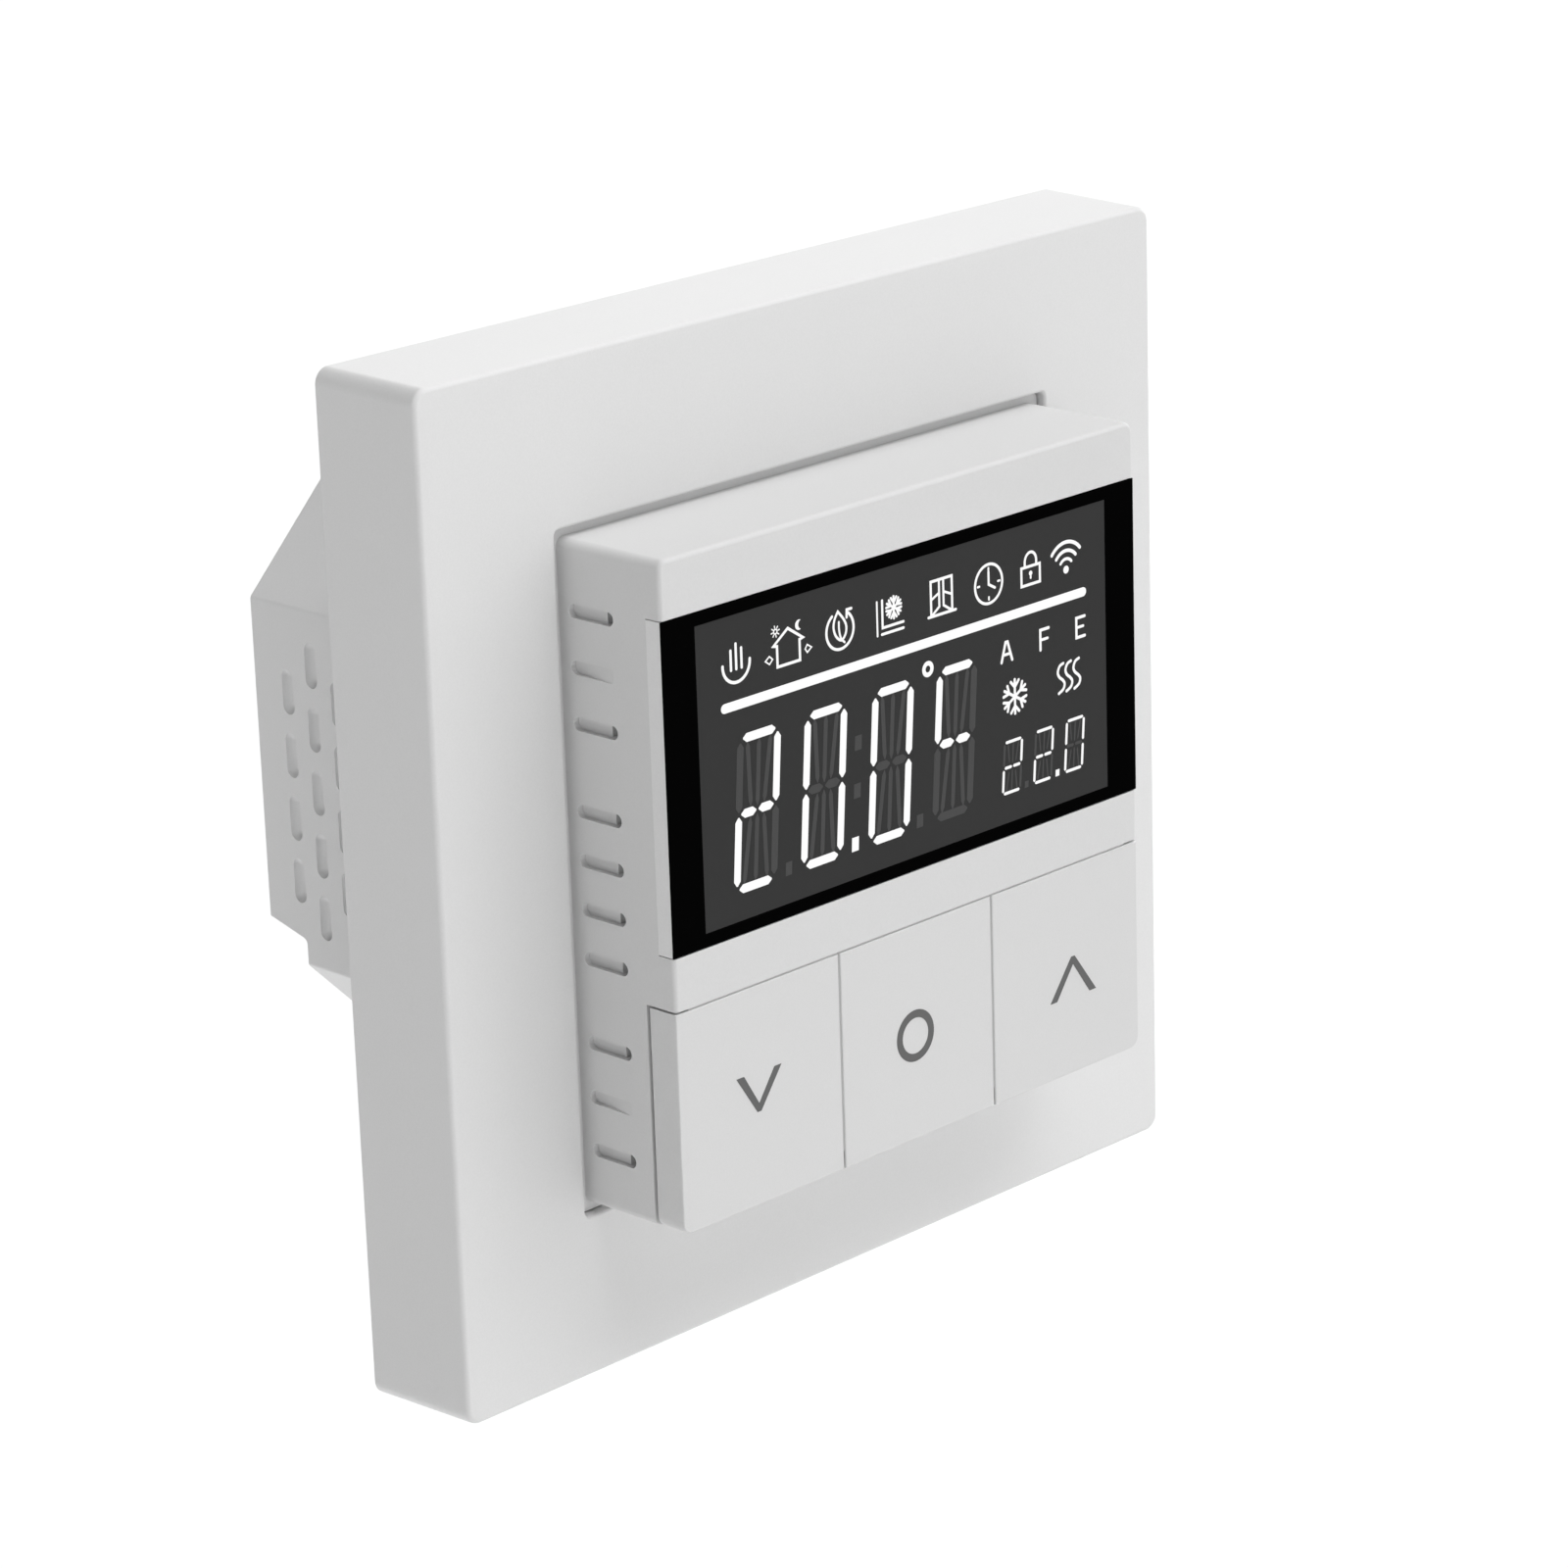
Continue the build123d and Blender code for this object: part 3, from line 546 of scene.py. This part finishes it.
def plate(name, shapes, face, thickness, material, body):
    """Makes one thin piece from flat shapes in millimetres; its face lies at this Y, in metres."""
    mesh = bpy.data.meshes.new(name)
    bm = bmesh.new()
    for index, (points, faces) in enumerate(shapes):
        # Neighbouring strokes start a hair apart, so that crossing ones don't share a plane
        y_face = face + (index % LAYERS) * LAYER_STEP
        y_back = face + thickness
        front = [bm.verts.new((x * MM, y_face, z * MM)) for x, z in points]
        back = [bm.verts.new((x * MM, y_back, z * MM)) for x, z in points]
        edges = {}
        for corners in faces:
            bm.faces.new([front[i] for i in corners])
            bm.faces.new([back[i] for i in reversed(corners)])
            for a, b in zip(corners, corners[1:] + corners[:1]):
                edges[(a, b)] = (b, a) in edges or edges.get((a, b), False)
                if (b, a) in edges:
                    edges[(b, a)] = True
        for (a, b), shared in edges.items():
            if not shared:
                bm.faces.new([front[a], back[a], back[b], front[b]])
    bmesh.ops.recalc_face_normals(bm, faces=bm.faces)
    bm.to_mesh(mesh)
    bm.free()
    piece = bpy.data.objects.new(name, mesh)
    bpy.context.scene.collection.objects.link(piece)
    mesh.materials.append(material)
    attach(piece, body)
    return piece


# ---------------------------------------------------------------- display figures

FIGURE_LEVEL = 5.4
FIGURE_CENTRES = (-17.77, -10.23, -2.47, 5.11)
SMALL_LEVEL = 1.5
SMALL_CENTRES = (12.02, 15.88, 19.75)
# Offset of the side bars, height to the end bars, length of a bar's point and gap at the middle, in mm
FIGURE_SHAPE = {"half": 2.065, "tall": 6.07, "tip": 0.38, "gap": 0.2}
SMALL_SHAPE = {"half": 1.06, "tall": 2.16, "tip": 0.1, "gap": 0.16}
TEXT_LIT = {
    "2": "top upper_right mid_left mid_right lower_left bottom",
    "0": "top upper_left upper_right lower_left lower_right bottom",
    "C": "top upper_left mid_left mid_right",
}


def figure_segments(centre, level, slant, half, tall, width, tip, gap):
    """The segments of one figure by name: half is the side bars' offset, tall the height to the end bars."""

    def lean(x, z):
        return centre + x + slant * z, level + z

    def segment(x0, z0, x1, z1, w=width, t=tip):
        return bar(*lean(x0, z0), *lean(x1, z1), w, t)

    reach = half - 0.38 * width
    inner = half * 0.07
    top = tall - 0.45 * width
    thin = width * 0.62
    return {
        "top": segment(-reach, tall, reach, tall),
        "bottom": segment(-reach, -tall, reach, -tall),
        "mid_left": segment(-reach, 0, -inner, 0),
        "mid_right": segment(inner, 0, reach, 0),
        "upper_left": segment(-half, gap, -half, top),
        "upper_right": segment(half, gap, half, top),
        "lower_left": segment(-half, -top, -half, -gap),
        "lower_right": segment(half, -top, half, -gap),
        "upper_post": segment(0, gap * 1.6, 0, top, thin, thin),
        "lower_post": segment(0, -top, 0, -gap * 1.6, thin, thin),
        "upper_left_brace": segment(-half * 0.36, gap * 2.2, -half * 0.62, top, thin, thin),
        "upper_right_brace": segment(half * 0.36, gap * 2.2, half * 0.62, top, thin, thin),
        "lower_left_brace": segment(-half * 0.62, -top, -half * 0.36, -gap * 2.2, thin, thin),
        "lower_right_brace": segment(half * 0.62, -top, half * 0.36, -gap * 2.2, thin, thin),
    }


def dot(cx, cz, width, height, slant=0.06):
    """A small leaning block, used for a point or half a colon."""
    w, h = width / 2, height / 2
    lean = slant * h
    foot = [(cx - w - lean, cz - h), (cx + w - lean, cz - h)]
    head = [(cx + w + lean, cz + h), (cx - w + lean, cz + h)]
    return patch(foot + head)


def readout(text, centres, level, **sizes):
    """Lit and unlit segments of a row of figures."""
    lit, unlit = [], []
    for letter, centre in zip(text, centres):
        segments = figure_segments(centre, level, **sizes)
        on = TEXT_LIT[letter].split()
        lit += [segments[name] for name in on]
        unlit += [shape for name, shape in segments.items() if name not in on]
    return lit, unlit


# ---------------------------------------------------------------- icons


def hand_icon(pen):
    """An open hand: three fingers over a cupped palm, for manual mode."""
    palm = arc(-19.55, 17.66, 1.49, 180, 360, 30, rise=1.5)
    fingers = [(-20.13, 18.80), (-19.55, 19.24), (-18.96, 18.80)]
    shapes = [stroke([(x, 17.22), (x, top)], pen) for x, top in fingers]
    return shapes + [stroke([(-21.04, 17.72), *palm, (-18.06, 17.72)], pen * 1.1)]


def house_icon(pen):
    """A house between day and night, for the daily programme."""
    outline = [
        (-13.78, 19.17),
        (-12.12, 18.06),
        (-12.5, 17.98),
        (-12.5, 16.3),
        (-15.02, 16.3),
        (-15.02, 17.98),
        (-15.42, 18.06),
    ]
    sun = [ring(-15.15, 19.2, 0.19, 0.11, 16)]
    for step in range(8):
        a = math.radians(45 * step + 10)
        inner, outer = (0.31, 0.46)
        ray = [(-15.15 + r * math.cos(a), 19.2 + r * math.sin(a)) for r in (inner, outer)]
        sun.append(stroke(ray, 0.1))
    moon_outer = arc(-12.52, 19.17, 0.42, 65, 295, 18)
    moon_inner = arc(-12.22, 19.17, 0.38, 248, 112, 18)
    moon = (moon_outer + moon_inner, [[i, i + 1, 36 - i, 37 - i] for i in range(18)])
    left = [(-16.36, 17.05), (-15.9, 17.36), (-15.54, 17.05), (-15.9, 16.72)]
    right = [(-11.9, 17.05), (-11.66, 17.36), (-11.18, 17.05), (-11.66, 16.72)]
    arrows = [stroke(shape, 0.12, closed=True) for shape in (left, right)]
    return [stroke(outline, pen, closed=True), *sun, moon, *arrows]


def leaf_icon(pen):
    """A leaf inside a turning arrow, for energy saving."""
    turn = arc(-7.92, 17.67, 1.55, 124, 414, 60)
    leaf = [
        (-8.12, 19.22),
        (-8.52, 18.62),
        (-8.64, 17.95),
        (-8.38, 17.25),
        (-7.8, 16.82),
        (-7.32, 17.2),
        (-7.2, 17.85),
        (-7.5, 18.5),
    ]
    leaf_line = smooth_line([*leaf, leaf[0]], 5)[:-1]
    stem = smooth_line([(-8.03, 18.35), (-8.02, 17.7), (-7.84, 17.0), (-7.44, 16.58)], 5)
    arrow = [(-7.13, 18.55), (-7.1, 19.16), (-6.58, 19.16)]
    return [
        stroke(turn, pen),
        stroke(leaf_line, pen * 0.9, closed=True),
        stroke(stem, pen * 0.8),
        stroke(arrow, pen),
    ]


def snow_star(cx, cz, radius, pen, fork, spread):
    """A six-armed snow star; fork is where each arm divides, as a share of the radius."""
    shapes = []
    for step in range(6):
        a = math.radians(90 + 60 * step)
        tip = (cx + radius * math.cos(a), cz + radius * math.sin(a))
        shapes.append(stroke([(cx, cz), tip], pen))
        root = (cx + fork * radius * math.cos(a), cz + fork * radius * math.sin(a))
        for sign in (-1, 1):
            b = a + sign * math.radians(spread)
            branch = (cx + radius * 0.97 * math.cos(b), cz + radius * 0.97 * math.sin(b))
            shapes.append(stroke([root, branch], pen))
    return shapes


def floor_frost_icon(pen):
    """A cold floor: two walls and two floor lines beside a snow star."""
    corner = [(-3.04, 18.98), (-3.04, 16.73), (-0.62, 16.73)]
    lines = [
        stroke([(-3.65, 18.98), (-3.65, 16.18)], pen * 0.75),
        stroke(corner, pen * 0.95),
        stroke([(-3.14, 16.21), (-0.62, 16.21)], pen * 0.95),
    ]
    return lines + snow_star(-1.71, 18.14, 0.9, 0.21, 0.42, 21)


def window_icon(pen):
    """An open window with two sashes, for airing."""
    left = [(3.62, 19.2), (3.62, 17.0), (2.78, 16.45)]
    right = [(4.13, 19.2), (4.13, 17.0), (5.0, 16.45)]
    return [
        stroke([(2.65, 16.4), (2.65, 19.24), (5.14, 19.24), (5.14, 16.4)], pen),
        stroke([(2.32, 16.34), (5.56, 16.34)], pen),
        stroke(left, pen * 0.9),
        stroke(right, pen * 0.9),
        stroke([(2.7, 17.74), (3.56, 18.12)], pen * 0.85),
        stroke([(4.2, 18.12), (5.08, 17.74)], pen * 0.85),
    ]


def clock_icon(pen):
    """A plain clock face, for the timer."""
    ticks = []
    for step in range(4):
        a = math.radians(90 * step)
        ticks.append([(9.54 + r * math.cos(a), 17.57 + r * math.sin(a)) for r in (1.12, 1.32)])
    shapes = [ring(9.54, 17.57, 1.64, pen)]
    shapes += [stroke(tick, pen * 0.8) for tick in ticks]
    return shapes + [stroke([(9.54, 18.55), (9.54, 17.52), (10.28, 17.1)], pen * 0.95)]


def padlock_icon(pen):
    """A closed padlock, for locked keys."""
    body = [(13.52, 16.42), (15.78, 16.42), (15.78, 17.95), (13.52, 17.95)]
    shackle = [(13.95, 17.95), *arc(14.65, 18.35, 0.7, 180, 0, 20, rise=0.78), (15.35, 17.95)]
    keyhole = [stroke([(14.65, 17.25), (14.65, 16.95)], pen * 0.8), disc(14.65, 17.35, 0.2)]
    return [stroke(body, pen, closed=True), stroke(shackle, pen), *keyhole]


def radio_icon(pen):
    """Three arcs over a dot, for the wireless link."""
    shapes = [disc(19.02, 16.68, 0.33)]
    for radius, width in ((0.88, 1.1), (1.58, 1.25), (2.3, 1.3)):
        shapes.append(stroke(arc(19.02, 16.72, radius, 139, 41, 24), pen * width))
    return shapes


def letter_marks(pen):
    """Plain letters that name the sensor in use."""
    a = [(10.92, 10.58), (11.44, 12.2), (11.68, 12.2), (12.22, 10.58)]
    return [
        stroke(a, pen * 1.1),
        stroke([(11.16, 11.16), (12.0, 11.16)], pen),
        stroke([(15.71, 10.56), (15.71, 12.25), (16.74, 12.25)], pen * 1.1),
        stroke([(15.71, 11.4), (16.6, 11.4)], pen),
        stroke([(21.24, 12.25), (20.2, 12.25), (20.2, 10.57), (21.24, 10.57)], pen * 1.1),
        stroke([(20.2, 11.43), (21.05, 11.43)], pen),
    ]


def warmth_icon(pen):
    """Three rising waves of warm air."""
    wave = [(0.29, 1.24), (-0.16, 1.08), (-0.4, 0.6), (-0.22, 0.17)]
    wave += [(0.21, -0.19), (0.43, -0.54), (0.26, -0.97), (-0.3, -1.24)]
    shapes = []
    for cx in (18.2, 19.16, 20.16):
        shapes.append(stroke(smooth_line([(cx + x, 7.54 + z) for x, z in wave], 5), pen * 1.05))
    return shapes


# ---------------------------------------------------------------- operators


class THERMOSTAT_OT_shell_finish(bpy.types.Operator):
    """Finish the cover frame, insert cover, keys and housing in grained white plastic"""

    bl_idname = "thermostat.shell_finish"
    bl_label = "White mouldings"

    def execute(self, context):
        look = context.scene.thermostat_shell
        grain = (look.grain_size, look.grain_depth)
        dress(grained_plastic("white_plastic", tuple(look.plastic), *grain), "outer_frame")
        dress(grained_plastic("insert_plastic", tuple(look.insert), *grain), "front_cover")
        # The display carrier gets the insert plastic made 15 % lighter: painted light, for the brighter
        # light that falls on the side of the panel.
        dress(grained_plastic("panel_plastic_painted_light", shade(tuple(look.insert), 1.15), *grain), "display_carrier")
        dress(
            grained_plastic("key_plastic", tuple(look.insert), *grain),
            *("down_button", "mode_button", "up_button"),
        )
        dress(grained_plastic("housing_plastic", tuple(look.housing), *grain), "rear_housing", "housing_lid")
        return {"FINISHED"}


class THERMOSTAT_OT_metal_finish(bpy.types.Operator):
    """Finish the mounting plate, screws, pins and clamps"""

    bl_idname = "thermostat.metal_finish"
    bl_label = "Plate, screws and contacts"

    def execute(self, context):
        steel = tuple(context.scene.thermostat_shell.steel)
        dress(galvanised_steel("steel", steel), "mounting_plate")
        dress(plain_metal("screw_steel", steel), "pcb_screws", "housing_screws", "terminal_screws")
        dress(plain_metal("pin_metal", (0.66, 0.64, 0.58), 0.2), "lcd_pins", "board_header")
        dress(plain_metal("shield_metal", (0.60, 0.61, 0.62), 0.32), "wireless_shield")
        dress(plain_metal("brass", (0.62, 0.44, 0.17)), "terminal_clamps")
        return {"FINISHED"}


class THERMOSTAT_OT_electronics_finish(bpy.types.Operator):
    """Finish the circuit boards and the parts on them"""

    bl_idname = "thermostat.electronics_finish"
    bl_label = "Boards and components"

    def execute(self, context):
        board = circuit_board("circuit_board", (0.012, 0.09, 0.035))
        dress(board, "front_pcb", "power_pcb", "wireless_board")
        dress(
            moulded_plastic("black_plastic", (0.018, 0.018, 0.02)),
            *("down_plunger", "mode_plunger", "up_plunger", "switch_bodies"),
            *("controller_chip", "board_socket", "power_module", "fuse"),
        )
        dress(moulded_plastic("relay_plastic", (0.012, 0.035, 0.14), 0.3), "relay")
        dress(moulded_plastic("capacitor_plastic", (0.55, 0.32, 0.03), 0.35), "filter_capacitor")
        dress(moulded_plastic("capacitor_sleeve", (0.02, 0.025, 0.05), 0.25), "smoothing_capacitor")
        dress(moulded_plastic("sensor_resin", (0.02, 0.02, 0.022), 0.2), "temperature_sensor")
        dress(moulded_plastic("terminal_plastic", (0.035, 0.038, 0.042), 0.5), "terminal_block")
        return {"FINISHED"}


class THERMOSTAT_OT_display_finish(bpy.types.Operator):
    """Finish the black border, the grey film, the glass and the light guide"""

    bl_idname = "thermostat.display_finish"
    bl_label = "Display layers"

    def execute(self, context):
        look = context.scene.thermostat_display
        dress(black_print("black_print", tuple(look.border)), "display_bezel")
        dress(display_film("lcd_film", tuple(look.film)), "lcd_polariser")
        dress(clear_glass("glass", (0.75, 0.80, 0.80)), "lcd_glass")
        dress(dotted_guide("light_guide", (0.80, 0.83, 0.85)), "lcd_backlight")
        return {"FINISHED"}


def display_materials(look):
    """Lit and unlit inks of the display, made once."""
    lit = bpy.data.materials.get("lit_segment")
    unlit = bpy.data.materials.get("unlit_segment")
    if lit is None:
        lit = lit_ink("lit_segment", tuple(look.lit), look.glow)
    if unlit is None:
        unlit = flat_ink("unlit_segment", tuple(look.ghost), 0.04)
    return lit, unlit


# How far each print stands proud of what carries it
LIT_DEPTH = 0.018 * MM
UNLIT_DEPTH = 0.006 * MM
SYMBOL_DEPTH = 0.02 * MM


class THERMOSTAT_OT_figures(bpy.types.Operator):
    """Make the large and the small temperature figures, lit and unlit"""

    bl_idname = "thermostat.figures"
    bl_label = "Temperature figures"

    def execute(self, context):
        look = context.scene.thermostat_display
        lit_material, unlit_material = display_materials(look)
        sizes = {"slant": look.slant, "width": look.figure_width / MM, **FIGURE_SHAPE}
        lit, unlit = readout("200C", FIGURE_CENTRES, FIGURE_LEVEL, **sizes)
        lit += [dot(-6.86, -0.34, 0.78, 1.16), ring(2.1, 12.13, 0.475, 0.38)]
        unlit += [dot(-14.48, -0.37, 0.7, 1.1), dot(0.75, -0.34, 0.76, 1.1)]
        unlit += [dot(-6.19, 7.98, 0.78, 1.2), dot(-6.46, 4.04, 0.78, 1.2)]
        sizes = {"slant": look.slant, "width": look.small_width / MM, **SMALL_SHAPE}
        small_lit, small_unlit = readout("220", SMALL_CENTRES, SMALL_LEVEL, **sizes)
        small_lit += [dot(17.57, -0.47, 0.46, 0.56)]
        small_unlit += [dot(13.72, -0.5, 0.46, 0.56)]
        pieces = (
            ("figures_lit", lit, LIT_DEPTH, lit_material),
            ("figures_unlit", unlit, UNLIT_DEPTH, unlit_material),
            ("small_figures_lit", small_lit, LIT_DEPTH, lit_material),
            ("small_figures_unlit", small_unlit, UNLIT_DEPTH, unlit_material),
        )
        for name, shapes, depth, material in pieces:
            plate(name, shapes, FILM_FRONT - depth, depth, material, BODY)
        return {"FINISHED"}


class THERMOSTAT_OT_icons(bpy.types.Operator):
    """Make the row of icons, the dividing line and the marks at the right of the display"""

    bl_idname = "thermostat.icons"
    bl_label = "Display icons"

    def execute(self, context):
        look = context.scene.thermostat_display
        material = display_materials(look)[0]
        pen = look.icon_width / MM
        icons = {
            "icon_hand": hand_icon(pen),
            "icon_house": house_icon(pen),
            "icon_leaf": leaf_icon(pen),
            "icon_floor_frost": floor_frost_icon(pen),
            "icon_window": window_icon(pen),
            "icon_clock": clock_icon(pen),
            "icon_padlock": padlock_icon(pen),
            "icon_radio": radio_icon(pen),
            "icon_snow": snow_star(12.47, 7.36, 1.45, 0.25, 0.55, 20),
            "icon_warmth": warmth_icon(pen),
            "sensor_letters": letter_marks(pen),
            "dividing_line": [stroke([(-20.98, 14.33), (21.08, 14.33)], 0.78)],
        }
        for name, shapes in icons.items():
            plate(name, shapes, FILM_FRONT - LIT_DEPTH, LIT_DEPTH, material, BODY)
        return {"FINISHED"}


class THERMOSTAT_OT_key_symbols(bpy.types.Operator):
    """Print the arrows and the ring on the keys"""

    bl_idname = "thermostat.key_symbols"
    bl_label = "Key symbols"

    def execute(self, context):
        ink = flat_ink("key_ink", tuple(context.scene.thermostat_shell.symbol))
        down = [(-21.15, -16.2), (-18.92, -19.6), (-18.69, -18.9), (-20.3, -16.2)]
        down += [(-18.48, -19.6), (-16.06, -16.3), (-16.86, -16.3)]
        up = [(16.22, -20.6), (17.07, -20.6), (19.15, -17.76), (19.37, -17.06)]
        up += [(18.93, -17.06), (21.2, -20.72), (22.05, -20.72)]
        symbols = {
            "down": [(down, [[0, 1, 2, 3], [1, 4, 5, 6, 2]])],
            "mode": [ring(-0.42, -18.5, 1.88, 0.68, 72)],
            "up": [(up, [[0, 1, 2, 3, 4], [5, 6, 3, 2]])],
        }
        face = KEY_FRONT - SYMBOL_DEPTH
        for key, shapes in symbols.items():
            plate(f"{key}_symbol", shapes, face, SYMBOL_DEPTH, ink, KEYS[key])
        return {"FINISHED"}


# Name, turn from the front towards the part's left, height, both in degrees, and brightness on white.
# A turn above 180 therefore comes from the part's right, counted the long way round.
SOFT_LIGHTS = (
    ("high_light", 340, 70, 0.686),
    ("back_light", 240, 20, 0.374),
    ("side_light", 296, 32, 0.343),
    ("front_light", 20, 5, 0.164),
    ("top_light", 240, 70, 0.088),
)
LIGHT_SPREAD = math.radians(50)
LIGHT_DISTANCE = 1.5
# The bright band fades between these heights of the view direction, 0 at level and 1 straight up
BAND_FADE = (0.14, 0.34)
SENSOR_WIDTH = 36.0
NEAR_LIMIT = 0.01


def outward(turn, rise):
    """Direction from the part, by its turn towards the part's left and its height, in radians."""
    level = math.cos(rise)
    return Vector((-math.sin(turn) * level, -math.cos(turn) * level, math.sin(rise)))


class THERMOSTAT_OT_studio(bpy.types.Operator):
    """Make the plain floor, the soft lights and the camera"""

    bl_idname = "thermostat.studio"
    bl_label = "Studio"

    def execute(self, context):
        scene = context.scene
        look = scene.thermostat_stage
        size = look.floor_reach
        mesh = bpy.data.meshes.new("studio_floor")
        corners = [(-size, -size), (size, -size), (size, size), (-size, size)]
        mesh.from_pydata([(x, y, -look.floor_drop) for x, y in corners], [], [(0, 1, 2, 3)])
        mesh.materials.append(plain_floor("studio_floor", tuple(look.floor)))
        floor = bpy.data.objects.new("studio_floor", mesh)
        scene.collection.objects.link(floor)

        world = bpy.data.worlds.new("studio_surroundings")
        world.use_nodes = True
        tree = world.node_tree
        heading = wire(tree, "ShaderNodeTexCoord", output="Generated")
        height = wire(tree, "ShaderNodeSeparateXYZ", values={0: heading}, output="Z")
        glow = (1 - height.ramp(*BAND_FADE)) * look.ambient
        tree.links.new(glow.socket, tree.nodes["Background"].inputs["Strength"])
        tree.nodes["Background"].inputs["Color"].default_value = (1, 1, 1, 1)
        scene.world = world
        scene.view_settings.view_transform = "Standard"

        for name, azimuth, elevation, strength in SOFT_LIGHTS:
            data = bpy.data.lights.new(name, "SUN")
            data.angle = LIGHT_SPREAD
            data.energy = math.pi * strength
            heading = outward(math.radians(azimuth), math.radians(elevation))
            lamp = bpy.data.objects.new(name, data)
            lamp.location = heading * LIGHT_DISTANCE
            lamp.rotation_euler = heading.to_track_quat("Z", "Y").to_euler()
            scene.collection.objects.link(lamp)

        az, el, roll = look.azimuth, look.elevation, look.roll
        across = Vector((math.cos(az), math.sin(az), 0))
        back = Vector((math.sin(az) * math.cos(el), -math.cos(az) * math.cos(el), math.sin(el)))
        up = back.cross(across)
        right = across * math.cos(roll) + up * math.sin(roll)
        top = up * math.cos(roll) - across * math.sin(roll)
        data = bpy.data.cameras.new("studio_camera")
        data.lens = look.lens
        data.sensor_width = SENSOR_WIDTH
        data.clip_start = NEAR_LIMIT
        camera = bpy.data.objects.new("studio_camera", data)
        turn = Matrix((right, top, back)).transposed().to_4x4()
        camera.matrix_world = Matrix.Translation(
            back * look.distance + right * look.aside + top * look.above
        ) @ turn
        scene.collection.objects.link(camera)
        scene.camera = camera
        return {"FINISHED"}


# ---------------------------------------------------------------- panel

OPERATORS = (
    THERMOSTAT_OT_shell_finish,
    THERMOSTAT_OT_metal_finish,
    THERMOSTAT_OT_electronics_finish,
    THERMOSTAT_OT_display_finish,
    THERMOSTAT_OT_figures,
    THERMOSTAT_OT_icons,
    THERMOSTAT_OT_key_symbols,
    THERMOSTAT_OT_studio,
)


class THERMOSTAT_PT_steps(bpy.types.Panel):
    """Settings and steps of the wall thermostat"""

    bl_idname = "THERMOSTAT_PT_steps"
    bl_label = "Wall thermostat"
    bl_space_type = "VIEW_3D"
    bl_region_type = "UI"
    bl_category = "Thermostat"

    def draw(self, context):
        for group in ("thermostat_shell", "thermostat_display", "thermostat_stage"):
            box = self.layout.box()
            settings = getattr(context.scene, group)
            for name in settings.bl_rna.properties.keys():
                if name not in ("rna_type", "name"):
                    box.prop(settings, name)
        for operator in OPERATORS:
            self.layout.operator(operator.bl_idname)


SETTINGS = {
    "thermostat_shell": ThermostatShellSettings,
    "thermostat_display": ThermostatDisplaySettings,
    "thermostat_stage": ThermostatStageSettings,
}


def register():
    for cls in (*SETTINGS.values(), *OPERATORS, THERMOSTAT_PT_steps):
        bpy.utils.register_class(cls)
    for name, cls in SETTINGS.items():
        setattr(bpy.types.Scene, name, bpy.props.PointerProperty(type=cls))


def unregister():
    for name in SETTINGS:
        delattr(bpy.types.Scene, name)
    for cls in reversed((*SETTINGS.values(), *OPERATORS, THERMOSTAT_PT_steps)):
        bpy.utils.unregister_class(cls)


def main():
    """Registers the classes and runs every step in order."""
    register()
    for operator in OPERATORS:
        group, name = operator.bl_idname.split(".")
        result = getattr(getattr(bpy.ops, group), name)()
        if result != {"FINISHED"}:
            raise RuntimeError(f"{operator.bl_label} did not finish")


if __name__ == "__main__":
    main()
